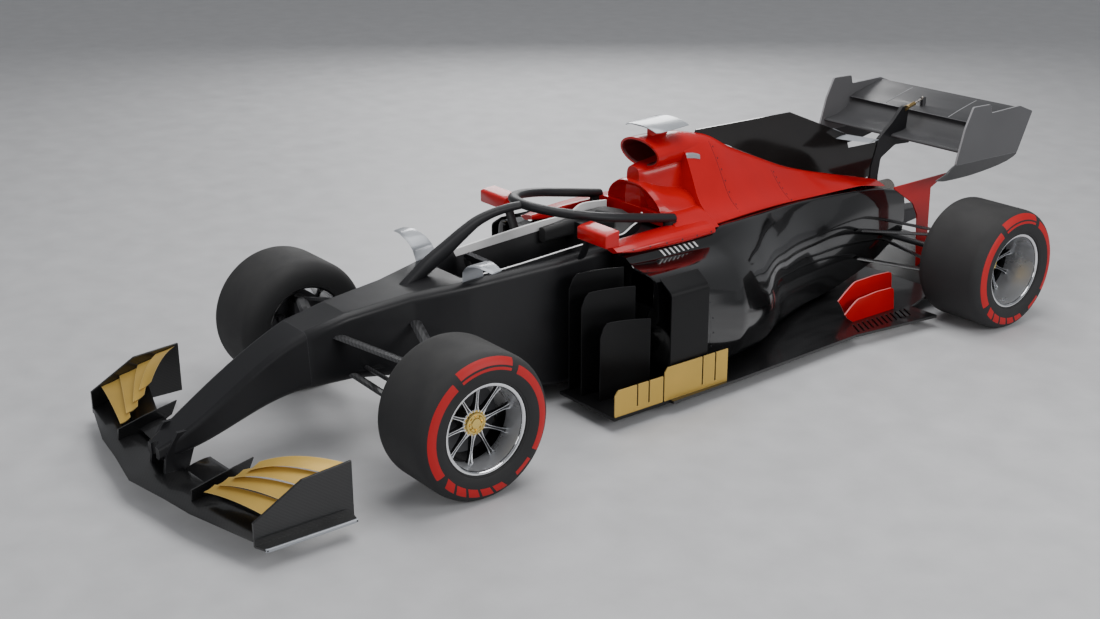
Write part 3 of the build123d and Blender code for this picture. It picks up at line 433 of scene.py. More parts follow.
# Painted highlight: pale red laid on the rims of the leaf fins.
RED_HIGHLIGHT_RIM = coat("red_painted_highlight_rim", (0.78, 0.22, 0.22), 0.30, 0.42)
WHITE_SLAT = coat("white_slat", (0.80, 0.80, 0.81), 0.35, 0.50)
DARK_GLASS = coat("dark_mirror_glass", (0.03, 0.035, 0.04), 0.03, 0.06, metal=0.9)
CAP_GOLD = bare_metal("gold_hub_cap", (0.80, 0.58, 0.18), 0.18, 0.30)
LAMP_RED = lamp_red()


# Mesh helpers


class Form:
    """Points in millimetres and faces, each face with the number of its finish."""

    def __init__(self):
        self.points = []
        self.faces = []
        self.kinds = []

    def sheet(self, points, kind=0):
        """One face."""
        base = len(self.points)
        self.points += [tuple(p) for p in points]
        self.faces.append(tuple(range(base, base + len(points))))
        self.kinds.append(kind)

    def turn(self, rows, centre, steps):
        """Turns a closed profile about the axle. Rows: x, radius, finish of the side from there."""
        base = len(self.points)
        count = len(rows)
        for step_cos, step_sin in circle(steps):
            self.points += [(x, centre.y + r * step_cos, centre.z + r * step_sin) for x, r, kind in rows]
        for k in range(steps):
            here = base + k * count
            there = base + (k + 1) % steps * count
            for i in range(count):
                j = (i + 1) % count
                self.faces.append((here + i, here + j, there + j, there + i))
                self.kinds.append(rows[i][2])

    def loft(self, sections, kind=0, capped=True, kinds=None):
        """Joins sections of as many points each; kinds may give a finish for each side."""
        base = len(self.points)
        count = len(sections[0])
        for section in sections:
            self.points += [tuple(p) for p in section]
        for k in range(len(sections) - 1):
            here = base + k * count
            for i in range(count):
                j = (i + 1) % count
                self.faces.append((here + i, here + j, here + count + j, here + count + i))
                self.kinds.append(kinds[i] if kinds else kind)
        if capped:
            self.faces.append(tuple(range(base, base + count)))
            last = base + (len(sections) - 1) * count
            self.faces.append(tuple(range(last, last + count)))
            self.kinds += [kind, kind]


def circle(count):
    """Cosine and sine of even steps round a circle."""
    return [(cos(tau * k / count), sin(tau * k / count)) for k in range(count)]


EDGE_TURN = 38.0


def soften(shown, radius):
    """Rounds the sharp edges of a shape a little."""
    soft = shown.modifiers.new("soft_edges", "BEVEL")
    soft.width = radius * MM
    soft.segments = 2
    soft.limit_method = "ANGLE"
    soft.angle_limit = radians(EDGE_TURN)
    soft.harden_normals = True


REPLACED = set()


def piece(name, body, form, finishes, stands_for=(), crease=32.0, soft=0.0):
    """Makes a mesh piece that rides on a body, and stands for CAD nodes where it is given any."""
    data = bpy.data.meshes.new(name)
    data.from_pydata([Vector(p) * MM for p in form.points], [], form.faces)
    for finish in finishes:
        data.materials.append(finish)
    data.polygons.foreach_set("material_index", form.kinds)
    work = bmesh.new()
    work.from_mesh(data)
    bmesh.ops.recalc_face_normals(work, faces=work.faces)
    work.to_mesh(data)
    work.free()
    data.shade_smooth()
    data.set_sharp_from_angle(angle=radians(crease))
    made = bpy.data.objects.new(name, data)
    bpy.context.scene.collection.objects.link(made)
    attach(made, body)
    if stands_for:
        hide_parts(*stands_for)
        REPLACED.update(stands_for)
    if soft > 0:
        soften(made, soft)


# Outlines and smooth forms

CORNER_SHARE = 0.46


def rounded(points, radius, arc_steps=5, edge_steps=3):
    """An outline with rounded corners. Every corner and every edge gets the same number of points."""
    shape = []
    count = len(points)
    for i in range(count):
        before, here, after = (Vector(points[(i + k) % count]) for k in (-1, 0, 1))
        following = Vector(points[(i + 2) % count]) - after
        into, out_of = here - before, after - here
        reach = min(radius, CORNER_SHARE * into.length, CORNER_SHARE * out_of.length)
        next_reach = min(radius, CORNER_SHARE * out_of.length, CORNER_SHARE * following.length)
        start = here - into.normalized() * reach
        end = here + out_of.normalized() * reach
        next_start = after - out_of.normalized() * next_reach
        for k in range(arc_steps + 1):
            t = k / arc_steps
            shape.append(start * (1 - t) ** 2 + here * 2 * t * (1 - t) + end * t**2)
        for k in range(1, edge_steps + 1):
            shape.append(end.lerp(next_start, k / (edge_steps + 1)))
    return shape


def flowing(rows, steps):
    """Rows of numbers, rising in the first, with smooth rows added between. No column runs past its values."""
    spans = list(zip(rows, rows[1:]))
    slopes = []
    for column in range(len(rows[0])):
        rates = [(after[column] - before[column]) / (after[0] - before[0]) for before, after in spans]
        inner = [2 * a * b / (a + b) if a * b > 0 else 0.0 for a, b in zip(rates, rates[1:])]
        slopes.append([rates[0], *inner, rates[-1]])
    result = []
    for i, (before, after) in enumerate(spans):
        gap = after[0] - before[0]
        for k in range(steps):
            t = k / steps
            lead, lead_slope = (1 + 2 * t) * (1 - t) ** 2, t * (1 - t) ** 2 * gap
            tail, tail_slope = t * t * (3 - 2 * t), t * t * (t - 1) * gap
            result.append(tuple(
                lead * before[c] + lead_slope * slope[i] + tail * after[c] + tail_slope * slope[i + 1]
                for c, slope in enumerate(slopes)
            ))
    result.append(tuple(float(v) for v in rows[-1]))
    return result


def stand(outline, station):
    """Points of an outline (x, height) across the car, put at a station."""
    return [Vector((x, at(station), z)) for x, z in outline]


def handed(outline, hand):
    """An outline put on one side of the car."""
    return [(hand * x, z) for x, z in outline]


def symmetric(half):
    """A closed outline from its left half, foot first."""
    return [(-half[0][0], half[0][1]), *half, *[(-x, z) for x, z in reversed(half[1:])]]


def oblong(x0, x1, z0, z1):
    """Outline of a straight oblong."""
    return [(x0, z0), (x1, z0), (x1, z1), (x0, z1)]


def ahead(line, i):
    """Direction of a line at one of its points, from its neighbours."""
    return line[min(i + 1, len(line) - 1)] - line[max(i - 1, 0)]


def tube_along(form, line, sideways, wide, tall, points):
    """A tube of oval section along a line; sideways is the direction of its width at each point."""
    sections = []
    for i, here in enumerate(line):
        run = ahead(line, i).normalized()
        across = (sideways[i] - run * sideways[i].dot(run)).normalized()
        up = run.cross(across)
        sections.append([here + across * wide[i] * c + up * tall[i] * s for c, s in circle(points)])
    form.loft(sections)


def plate(form, outline, x0, x1, radius=0.0, rim_kind=0):
    """A flat plate from an outline of (station, height), standing between two x values."""
    shape = rounded(outline, radius) if radius > 0 else [Vector(p) for p in outline]
    sides = [[Vector((x, at(s), z)) for s, z in shape] for x in (x0, x1)]
    form.loft(sides, kind=rim_kind, capped=False)
    for side in sides:
        form.sheet(side)


# Section of a streamlined blade. Columns: share of the chord, share of half the thickness
BLADE_SECTION = [
    (-0.5, 0), (-0.38, 0.8), (-0.1, 1), (0.2, 0.8), (0.5, 0), (0.2, -0.8), (-0.1, -1), (-0.38, -0.8),
]


def blade(form, start, end, chord, thickness):
    """A slim streamlined blade between two points (x, station, height), its chord along the car."""
    form.loft([
        [Vector((x + thickness / 2 * w, at(s + chord * c), z)) for c, w in BLADE_SECTION]
        for x, s, z in (start, end)
    ])


def block(form, low, high):
    """A straight block between two corners (x, station, height)."""
    foot = oblong(low[0], high[0], low[1], high[1])
    form.loft([[Vector((x, at(s), z)) for x, s in foot] for z in (low[2], high[2])])


# Tyres. The section bulges at its widest radius, tucks in to the bead and turns over the shoulder to the tread

WALL_IN = 0.7
SHOULDER_REACH = 74.0
SHOULDER_POWER = 2.3
WIDEST_RADIUS = 262.0
BEAD_RADIUS = 208.0
BEAD_TUCK = 12.0
TYRE_LADDER = [
    208.3, 213, 215, 217, 221, 228, 238, 250, 262, 274, 286, 297, 306, 314, 321, 327, 331, 333.6, 334.7, 335,
]
GROOVE_RADIUS = 215
GROOVE_DEPTH = 1.6
TYRE_STEPS = 200


def wall_reach(radius):
    """How far the sidewall stands in from the tyre's side at a radius."""
    if radius < WIDEST_RADIUS:
        return WALL_IN + BEAD_TUCK * ((WIDEST_RADIUS - radius) / (WIDEST_RADIUS - BEAD_RADIUS)) ** 2
    share = (radius - WIDEST_RADIUS) / (TYRE_RADIUS - WIDEST_RADIUS)
    return WALL_IN + SHOULDER_REACH * (1 - max(0.0, 1 - share**SHOULDER_POWER) ** (1 / SHOULDER_POWER))


def tyre_rows(x_in, x_out, hand):
    """Closed section of a tyre, from the inner bead over the tread to the outer bead."""
    reaches = [(wall_reach(r) + (GROOVE_DEPTH if r == GROOVE_RADIUS else 0), r) for r in TYRE_LADDER]
    inner = [(x_in + hand * reach, r, 0) for reach, r in reaches]
    outer = [(x_out - hand * reach, r, 0) for reach, r in reversed(reaches)]
    return inner + outer


# Raised red marks on the outer sidewall. Columns: first angle, last angle, inner radius, outer radius, lean
SIDEWALL_MARKS = [
    (-33, 57, 266, 304, 0.0),
    (124, 211, 266, 304, 0.0),
    (64, 117, 291, 322, 0.0),
    (64, 117, 270, 282, 0.0),
    (219, 230, 262, 300, 5.0),
    (233, 244, 262, 300, 5.0),
    (247, 258, 262, 300, 5.0),
    (261, 272, 262, 300, 5.0),
    (275, 286, 262, 300, 5.0),
    (300, 318, 268, 290, 0.0),
]
MARK_RISE = 0.5
MARK_SINK = 1.0
MARK_STEP = 2.0
MARK_ROWS = 5


def sidewall_marks(form, centre, x_out, hand):
    """Bars and arcs that follow the outer sidewall."""
    rows = range(MARK_ROWS + 1)
    for first, last, low, high, lean in SIDEWALL_MARKS:
        steps = max(2, int((last - first) / MARK_STEP))
        sections = []
        for k in range(steps + 1):
            section = []
            for lift, order in ((MARK_RISE, rows), (-MARK_SINK, reversed(rows))):
                for row in order:
                    r = low + (high - low) * row / MARK_ROWS
                    angle = radians(first + (last - first) * k / steps + lean * (row / MARK_ROWS - 0.5))
                    x = x_out - hand * (wall_reach(r) - lift)
                    section.append((x, centre.y + r * cos(angle), centre.z + r * sin(angle)))
            sections.append(section)
        form.loft(sections)


# Rims. Their finishes by number: polished metal, black lacquer, gold cap, silver barrel

RIM_STEPS = 160
HUB_STEPS = 64
SPOKES = 10
SPOKE_PHASE = 0.16
CAP_LUGS = 8
HUB_FACE_IN = {"front": 106.0, "rear": 184.0}
RIM_LIP = 18.0
RIM_BACK = 20.0
# One spoke. Columns: radius, half width, front face from the hub face, depth
SPOKE_ROWS = [
    (50, 15.0, 4, 44),
    (66, 11.0, 3, 34),
    (84, 7.6, 1, 26),
    (120, 6.8, -1, 20),
    (154, 8.0, -1, 18),
    (174, 11.5, 1, 20),
    (187, 17.0, 4, 24),
]
# A spoke's section: two ridges and the pocket between. Columns: share of the half width, drop below the face,
# share of the depth, finish of the side from there
SPOKE_SECTION = [
    (-1, 4, 0, 0), (-0.86, 0, 0, 0), (-0.55, 0, 0, 0), (-0.38, 5, 0, 1), (0.38, 5, 0, 0), (0.55, 0, 0, 0),
    (0.86, 0, 0, 0), (1, 4, 0, 1), (0.8, 0, 1, 1), (-0.8, 0, 1, 1),
]
# A drive lug on the nut. Columns: radius, half width, height over the hub face
LUG_ROWS = [(28, 4.5, 9.5), (29, 5.0, 15.0), (35, 6.0, 15.0), (36, 6.0, 9.5)]
LUG_ROOT = 8.5


def rim_rows(x_back, lip_x, hub_x, hand):
    """Rim ring from its back bead over the lip and down the barrel."""
    return [
        (x_back, 207.8, 1),
        (lip_x - hand * 12, 207.8, 0),
        (lip_x - hand * 3, 207.6, 0),
        (lip_x - hand * 0.5, 205.5, 0),
        (lip_x, 202.5, 0),
        (lip_x - hand * 1, 197.0, 0),
        (lip_x - hand * 4, 192.5, 0),
        (lip_x - hand * 8, 191.0, 1),
        (lip_x - hand * 11, 189.0, 3),
        (lip_x - hand * 26, 188.0, 3),
        (hub_x + hand * 34, 184.0, 3),
        (hub_x + hand * 8, 182.5, 3),
        (hub_x - hand * 30, 186.0, 1),
        (hub_x - hand * 60, 190.0, 1),
        (x_back, 199.0, 1),
    ]


def hub_rows(hub_x, hand):
    """Hub and its centre lock nut."""
    return [
        (hub_x - hand * 66, 29.0, 1),
        (hub_x - hand * 66, 54.0, 1),
        (hub_x - hand * 24, 60.0, 1),
        (hub_x - hand * 2, 60.0, 0),
        (hub_x + hand * 2, 57.0, 2),
        (hub_x + hand * 3, 51.0, 2),
        (hub_x + hand * 10, 49.5, 2),
        (hub_x + hand * 13, 46.0, 2),
        (hub_x + hand * 13, 40.0, 2),
        (hub_x + hand * 10, 37.0, 2),
        (hub_x + hand * 10, 27.0, 2),
        (hub_x + hand * 15, 22.0, 2),
        (hub_x + hand * 16, 8.0, 2),
        (hub_x + hand * 16, 0.5, 2),
        (hub_x - hand * 14, 0.5, 1),
        (hub_x - hand * 14, 29.0, 1),
    ]


def on_spoke(base, hand, angle, r, across, outward):
    """A point of the wheel's face: along a spoke's radius, across it, and out from the hub face."""
    along_it = Vector((0, cos(angle), sin(angle)))
    across_it = Vector((0, -sin(angle), cos(angle)))
    return base + along_it * r + across_it * across + Vector((hand, 0, 0)) * outward


def spoke(form, base, hand, angle):
    """A forged spoke: two bright ridges with a pocket between them."""
    sections = [
        [
            on_spoke(base, hand, angle, r, share * half, face - drop - deep * depth)
            for share, drop, deep, kind in SPOKE_SECTION
        ]
        for r, half, face, depth in SPOKE_ROWS
    ]
    form.loft(sections, kinds=[kind for share, drop, deep, kind in SPOKE_SECTION], kind=1)


def cap_lug(form, base, hand, angle):
    """A drive lug on the nut's face."""
    form.loft([
        [
            on_spoke(base, hand, angle, r, across, outward)
            for across, outward in ((-half, LUG_ROOT), (-half, face), (half, face), (half, LUG_ROOT))
        ]
        for r, half, face in LUG_ROWS
    ], kind=2)


def make_wheel(end, flank, hand):
    """Tyre, sidewall marks and rim of one wheel, fitted to the CAD tyre's box."""
    name = f"{end}_{flank}"
    body = f"wheel_{name}"
    low, high = corners(f"tyre_{name}")
    centre = (low + high) / 2
    x_in, x_out = (low.x, high.x) if hand > 0 else (high.x, low.x)
    hub_x = x_out - hand * HUB_FACE_IN[end]
    hub = Vector((hub_x, centre.y, centre.z))

    form = Form()
    form.turn(tyre_rows(x_in, x_out, hand), centre, TYRE_STEPS)
    piece(f"tyre_{name}_skin", body, form, [FINISH["tyre"]], [f"tyre_{name}"], crease=50)

    form = Form()
    sidewall_marks(form, centre, x_out, hand)
    piece(f"sidewall_marks_{name}", body, form, [RED_BAND])

    form = Form()
    form.turn(rim_rows(x_in + hand * RIM_BACK, x_out - hand * RIM_LIP, hub_x, hand), centre, RIM_STEPS)
    form.turn(hub_rows(hub_x, hand), centre, HUB_STEPS)
    for i in range(SPOKES):
        spoke(form, hub, hand, tau * i / SPOKES + SPOKE_PHASE)
    for i in range(CAP_LUGS):
        cap_lug(form, hub, hand, tau * i / CAP_LUGS)
    finishes = [FINISH["rim_metal"], RIM_BLACK, CAP_GOLD, BARREL_SILVER]
    piece(f"rim_{name}_spoked", body, form, finishes, [f"rim_{name}"], crease=28)


# Engine cover's spine. Columns: station, then x and z of foot, hip, flank and ridge edge, corner reach

SPINE_ROWS = [
    (1845, 405, 738, 250, 812, 150, 1030, 72, 1150, 70),
    (2060, 355, 728, 232, 798, 124, 1010, 52, 1116, 64),
    (2273, 292, 712, 190, 788, 92, 938, 40, 1012, 50),
    (2505, 235, 695, 150, 758, 70, 862, 30, 912, 40),
    (2747, 190, 676, 120, 726, 52, 788, 24, 816, 30),
    (3163, 150, 660, 96, 682, 44, 695, 20, 703, 14),
    (3480, 96, 598, 60, 612, 32, 620, 14, 624, 9),
]
# Deck beside the arch. Columns: station, x and z of foot and top
DECK_ROWS = [(1600, 424, 745, 236, 806), (1720, 416, 741, 243, 809), (1846, 405, 736, 250, 812)]
DECK_CORNER = 26.0
# Arch behind the driver. Columns: station, x of foot, x and z of hip and crown
ARCH_ROWS = [
    (1584, 222, 208, 846, 90, 936),
    (1620, 238, 216, 848, 94, 942),
    (1700, 258, 220, 846, 98, 916),
    (1880, 280, 198, 846, 104, 880),
]
# The arch's recess, from its bottom to the rim. Columns: distance behind the rim, share of the wall
ARCH_RECESS = [(34.0, 3.4), (34.0, 3.0), (23.8, 2.0), (10.0, 1.1), (2.0, 0.75), (0.0, 0.4)]
ARCH_WALL = 20.0
ARCH_SLANT = 0.4
ARCH_LEAN = 50.0
ARCH_FOOT = 700.0
ARCH_CORNER = 80.0
# Neck under the intake. Columns: station, x of foot, x and z of top
NECK_ROWS = [(1604, 66, 44, 1012), (1640, 82, 60, 1018), (1725, 96, 78, 1026), (1850, 112, 96, 1040)]
NECK_FOOT = 780.0
NECK_CORNER = 56.0
# Intake and its bore. Columns: station at its axis, height, half width, half height, lean
SNOUT_ROWS = [
    (1645, 1077, 150, 79, 34),
    (1700, 1076, 146, 84, 10),
    (1850, 1072, 118, 86, 0),
    (1990, 1060, 92, 72, 0),
]
BORE_ROWS = [
    (1830, 1077, 100, 44, 0),
    (1700, 1077, 118, 56, 10),
    (1652, 1077, 126, 61, 32),
    (1645, 1077, 136, 68, 34),
]
SNOUT_POINTS = 48
# Shoulder beside the cockpit. Columns: station, inner x, outer x, lower z, upper z
SHOULDER_ROWS = [
    (1176, 296, 392, 720, 748),
    (1300, 296, 416, 706, 758),
    (1560, 296, 434, 706, 766),
    (1790, 296, 428, 710, 764),
]
# A shoulder's outline. Columns: inner (0) or outer (1) x, what is added to it, lower (0) or upper (1) z, and
# what is added to that
SHOULDER_OUTLINE = [
    (0, 0, 0, 14), (1, -34, 0, 0), (1, 0, 0, 16), (1, -4, 1, -14), (1, -34, 1, 0), (0, 0, 1, 10),
]
SHOULDER_CORNER = 12.0
# Stalk of the camera pod. Columns: station, half width
POD_STALK_ROWS = [(1702, 10), (1716, 20), (1740, 23), (1790, 22), (1815, 18), (1828, 8)]
POD_STALK_FOOT = 1128.0
POD_STALK_TOP = 1217.0
POD_STALK_TAPER = 0.8
POD_STALK_CORNER = 6.0


def oval(station, height, wide, tall, lean):
    """Oval section of the intake, its top leaning forward over its foot."""
    return [
        Vector((wide * c, at(station - lean / 2 * s), height + tall * s)) for c, s in circle(SNOUT_POINTS)
    ]


def arch_sections():
    """Sections of the arch behind the driver, from the bottom of its recess over the rim to its back."""
    front, foot, hip, hip_z, crown, crown_z = ARCH_ROWS[0]
    rows = []
    for back, share in ARCH_RECESS:
        wall = share * ARCH_WALL
        slant = wall * ARCH_SLANT
        rows.append((front + back, foot - wall, hip - wall, hip_z - slant, crown - slant, crown_z - wall))
    rows += flowing([(front + 1, *ARCH_ROWS[0][1:]), *ARCH_ROWS[1:]], 6)
    sections = []
    for s, x0, x1, z1, x2, z2 in rows:
        shape = rounded(symmetric([(x0, ARCH_FOOT), (x1, z1), (x2, z2)]), ARCH_CORNER)
        sections.append([
            Vector((x, at(s + ARCH_LEAN * (crown_z - z) / (crown_z - ARCH_FOOT)), z)) for x, z in shape
        ])
    return sections


def shoulder_outline(x0, x1, z0, z1):
    """Outline of a shoulder, with its edges turned down."""
    return [((x0, x1)[a] + dx, (z0, z1)[b] + dz) for a, dx, b, dz in SHOULDER_OUTLINE]


def make_engine_cover():
    """The whole cover, from its spine to the shoulders and the camera pod's stalk. Returns its skin."""
    form = Form()
    form.loft([
        stand(rounded(symmetric([(x0, z0), (x1, z1), (x2, z2), (x3, z3)]), r), s)
        for s, x0, z0, x1, z1, x2, z2, x3, z3, r in flowing(SPINE_ROWS, 8)
    ])
    form.loft([
        stand(rounded(symmetric([(x0, z0), (x1, z1)]), DECK_CORNER), s) for s, x0, z0, x1, z1 in DECK_ROWS
    ])
    form.loft(arch_sections())
    form.loft([
        stand(rounded(symmetric([(x0, NECK_FOOT), (x1, z1)]), NECK_CORNER), s)
        for s, x0, x1, z1 in flowing(NECK_ROWS, 4)
    ])
    form.loft([oval(*row) for row in BORE_ROWS], capped=False, kind=1)
    form.loft([oval(*row) for row in (BORE_ROWS[-1], *flowing(SNOUT_ROWS, 6))], capped=False)
    form.sheet(oval(*BORE_ROWS[0]), kind=1)
    for hand in HANDS:
        form.loft([
            stand(rounded(handed(shoulder_outline(x0, x1, z0, z1), hand), SHOULDER_CORNER), s)
            for s, x0, x1, z0, z1 in flowing(SHOULDER_ROWS, 6)
        ])
    sections = []
    for s, w in POD_STALK_ROWS:
        outline = symmetric([(w, POD_STALK_FOOT), (w * POD_STALK_TAPER, POD_STALK_TOP)])
        sections.append(stand(rounded(outline, POD_STALK_CORNER), s))
    form.loft(sections)
    # The bore gets the darker red of painted shade.
    finishes = [FINISH["red_paint"], DUCT_SHADE_RED]
    piece("engine_cover_shell", "chassis", form, finishes, ["engine_cover"], crease=40)
    return BVHTree.FromPolygons(form.points, form.faces)


# Sidepods. Columns: station, inner x, foot x, foot z, widest x, z, shoulder x, z, cover edge x, z, step, reach

POD_ROWS = [
    (1215, 318, 440, 300, 658, 430, 642, 654, 424, 676, 30, 60),
    (1400, 318, 560, 75, 698, 360, 652, 650, 428, 668, 44, 80),
    (1750, 290, 610, 75, 700, 320, 622, 600, 430, 672, 46, 110),
    (1840, 280, 596, 75, 682, 312, 596, 592, 420, 690, 44, 110),
    (2050, 250, 540, 75, 612, 290, 505, 560, 368, 716, 12, 110),
    (2350, 215, 380, 75, 440, 280, 372, 530, 278, 700, 4, 90),
    (2747, 160, 236, 75, 282, 260, 252, 470, 192, 672, 3, 50),
    (3300, 108, 150, 150, 170, 300, 160, 500, 138, 620, 2, 24),
    (3640, 92, 112, 300, 122, 380, 118, 470, 104, 548, 2, 8),
]
POD_STEP_RUN = 16.0
POD_LIP_STATION = 1212.0
POD_LIP_SHARE = 0.35
# Inlet duct, its back first. Columns: station, inner x, outer x, lower z, upper z, corner reach
INLET_ROWS = [(1396, 470, 580, 525, 625, 30), (1300, 450, 592, 508, 636, 34), (1226, 440, 600, 500, 642, 36)]
INLET_ARCH = 3.0
INLET_ROOF = 20.0


def inlet_outline(x0, x1, z0, z1):
    """Outline of the inlet, with as many corners as the pod's."""
    middle, roof = (x0 + x1) / 2, z1 + INLET_ARCH
    return [
        (x0, z0), (middle, z0 - INLET_ARCH), (x1, z0), (x1, z1), (middle + INLET_ROOF, roof), (middle, roof),
        (x0, z1),
    ]


def pod_outline(x_in, foot_x, foot_z, wide_x, wide_z, top_x, top_z, edge_x, edge_z, step):
    """Outline of a sidepod, with a step up to the cover's edge."""
    return [
        (x_in, foot_z), (foot_x, foot_z), (wide_x, wide_z), (top_x, top_z), (edge_x, edge_z),
        (edge_x - POD_STEP_RUN, edge_z + step), (x_in, edge_z + step),
    ]


def make_sidepods():
    """Both sidepods with their inlet ducts. Returns their skins by hand."""
    skins = {}
    for flank, hand, stands_for in (("left", 1, ["sidepods", "sidepod_inlets"]), ("right", -1, [])):
        duct = [stand(rounded(handed(inlet_outline(*row[1:5]), hand), row[5]), row[0]) for row in INLET_ROWS]
        skin = [
            stand(rounded(handed(pod_outline(*row[1:11]), hand), row[11]), row[0])
            for row in flowing(POD_ROWS, 8)
        ]
        lip = [Vector(a).lerp(Vector(b), POD_LIP_SHARE) for a, b in zip(skin[0], duct[-1])]
        for point in lip:
            point.y = at(POD_LIP_STATION)
        form = Form()
        form.loft([*duct, lip, *skin])
        name = f"sidepod_{flank}_skin"
        piece(name, "chassis", form, [FINISH["gloss_black"]], stands_for, crease=50)
        skins[hand] = BVHTree.FromPolygons(form.points, form.faces)
    return skins


# Halo. The hoop lies in a plane that falls to the rear. Its front point (station, height), the plane's fall
# and tilt, the bend's reach across and along, the hoop's length, where its straight legs begin, and half its
# tube

HALO_FRONT = (900, 938)
HALO_DROP = 0.189
HALO_TILT = 10.7
HALO_REACH = (290.0, 400.0)
HALO_LENGTH = 735.0
HALO_LEG_SHARE = 0.8
HALO_TUBE = (30.0, 23.0)
HALO_BEND_STEPS = 60
HALO_POINTS = 28
# Rear feet: half width, half length, how far ahead of the tube's end, and the steps down
HALO_FOOT = (26.0, 40.0, 20.0)
HALO_FOOT_DROPS = (0, -60, -120)
HALO_FOOT_POINTS = 24
# Pillar. Columns: station, height, half width, half depth across its run
PILLAR_ROWS = [
    (150, 648, 22, 8),
    (250, 690, 22, 34),
    (352, 752, 21, 42),
    (450, 806, 20, 40),
    (545, 862, 19, 34),
    (640, 908, 19, 27),
    (750, 931, 21, 22),
    (850, 937, 26, 20),
    (905, 937, 30, 18),
]


def make_halo():
    """Hoop, centre pillar and rear feet."""
    form = Form()
    reach_x, reach_s = HALO_REACH
    leg = HALO_LENGTH * HALO_LEG_SHARE
    turns = [pi * k / HALO_BEND_STEPS for k in range(HALO_BEND_STEPS + 1)]
    bend = [(reach_x * cos(t), reach_s * (1 - sin(t))) for t in turns]
    path = [(reach_x, HALO_LENGTH), (reach_x, leg), *bend, (-reach_x, leg), (-reach_x, HALO_LENGTH)]
    slope = cos(radians(HALO_TILT))
    line = [
        Vector((x, at(HALO_FRONT[0] + back * slope), HALO_FRONT[1] - HALO_DROP * back * slope))
        for x, back in path
    ]
    plane_up = Vector((0, HALO_DROP, 1))
    sideways = [ahead(line, i).cross(plane_up).normalized() for i in range(len(line))]
    wide, tall = HALO_TUBE
    tube_along(form, line, sideways, [wide] * len(line), [tall] * len(line), HALO_POINTS)

    stations, heights, wides, deeps = zip(*flowing(PILLAR_ROWS, 4))
    pillar = [Vector((0, at(s), z)) for s, z in zip(stations, heights)]
    tube_along(form, pillar, [Vector((1, 0, 0))] * len(pillar), wides, deeps, HALO_POINTS)

    wide, long, lead = HALO_FOOT
    for end in (line[0], line[-1]):
        form.loft([
            [end + Vector((wide * c, long * s - lead, drop)) for c, s in circle(HALO_FOOT_POINTS)]
            for drop in HALO_FOOT_DROPS
        ])
    piece("halo_hoop", "chassis", form, [FINISH["halo_coat"]], ["halo"], crease=50)


# Horn winglets on the chassis top. Columns: x, front station, back station, height

HORN_ROWS = [
    (196, 400, 520, 692),
    (214, 390, 505, 752),
    (262, 385, 490, 790),
    (336, 392, 478, 804),
    (414, 412, 470, 792),
]
# A winglet's section. Columns: front (0) or back (1) station, what is added to it, what is added to the height
HORN_SECTION = [(0, 0, 1), (0, 14, 0), (1, 0, 6), (1, 0, 11), (0, 14, 7)]
HORN_CORNER = 3.0


def make_horn_winglets():
    """The two curled sheets on the chassis top."""
    form = Form()
    for hand in HANDS:
        sections = []
        for x, s0, s1, z in flowing(HORN_ROWS, 6):
            shape = rounded([((s0, s1)[a] + ds, z + dz) for a, ds, dz in HORN_SECTION], HORN_CORNER, 3, 1)
            sections.append([Vector((hand * x, at(s), up)) for s, up in shape])
        form.loft(sections)
    finishes = [FINISH["grey_panel"]]
    piece("horn_winglet_sheets", "chassis", form, finishes, ["horn_winglets"], crease=40)


# Camera pod: arched plate with drooping tips. Columns: station, half width, height at the middle

POD_PLATE_ROWS = [
    (1636, 118, 1224), (1650, 134, 1226), (1700, 138, 1229), (1846, 130, 1237), (1854, 124, 1237),
]
POD_PLATE_STEPS = 8
POD_SWEEP = 14.0
POD_DROOP = 24.0
POD_DROOP_POWER = 2.4
POD_TIP_THICKNESS = 3.0
POD_BELLY = 5.0
# Small side camera. Columns: station, height; then its outline from there
SIDE_CAMERA_ROWS = [(1846, 1052), (1856, 1056), (1900, 1050), (1940, 1038)]
SIDE_CAMERA_OUTLINE = [(96, -18), (140, -18), (138, 8), (96, 14)]
SIDE_CAMERA_CORNER = 6.0


def make_camera_pod():
    """The plate over the intake."""
    shares = [k / POD_PLATE_STEPS for k in range(-POD_PLATE_STEPS, POD_PLATE_STEPS + 1)]
    sections = []
    for s, wide, top in POD_PLATE_ROWS:
        over = [
            Vector((wide * q, at(s + POD_SWEEP * q * q), top - POD_DROOP * abs(q) ** POD_DROOP_POWER))
            for q in shares
        ]
        under = [
            Vector((p.x, p.y, p.z - POD_TIP_THICKNESS - POD_BELLY * (1 - abs(q))))
            for p, q in zip(over, shares)
        ]
        sections.append(over + under[::-1])
    form = Form()
    form.loft(sections)
    finishes = [FINISH["grey_panel"]]
    piece("camera_pod_plate", "chassis", form, finishes, ["camera_pod"], crease=50, soft=0.8)


def make_side_camera():
    """The small camera on the cover's left side."""
    form = Form()
    form.loft([
        stand(rounded([(x, z + dz) for x, dz in SIDE_CAMERA_OUTLINE], SIDE_CAMERA_CORNER), s)
        for s, z in SIDE_CAMERA_ROWS
    ])
    piece("small_side_camera", "chassis", form, [FINISH["grey_panel"]], crease=40, soft=0.8)


# Mirrors. Columns: station, inner x, outer x, underside, top

MIRROR_ROWS = [
    (1002, 297, 503, 821, 872),
    (1006, 293, 507, 816, 878),
    (1030, 292, 508, 814, 884),
    (1086, 292, 506, 812, 890),
]
MIRROR_CORNER = 6.0
MIRROR_GLASS = (312.0, 488.0, 824.0, 878.0)
GLASS_STATIONS = (1084.0, 1086.6)
GLASS_CORNER = 14.0
STALK_TOP = (330, 1050, 820)
STALK_FOOT = (262, 1050, 690)
STALK_CHORD = 54.0
STALK_THICKNESS = 16.0


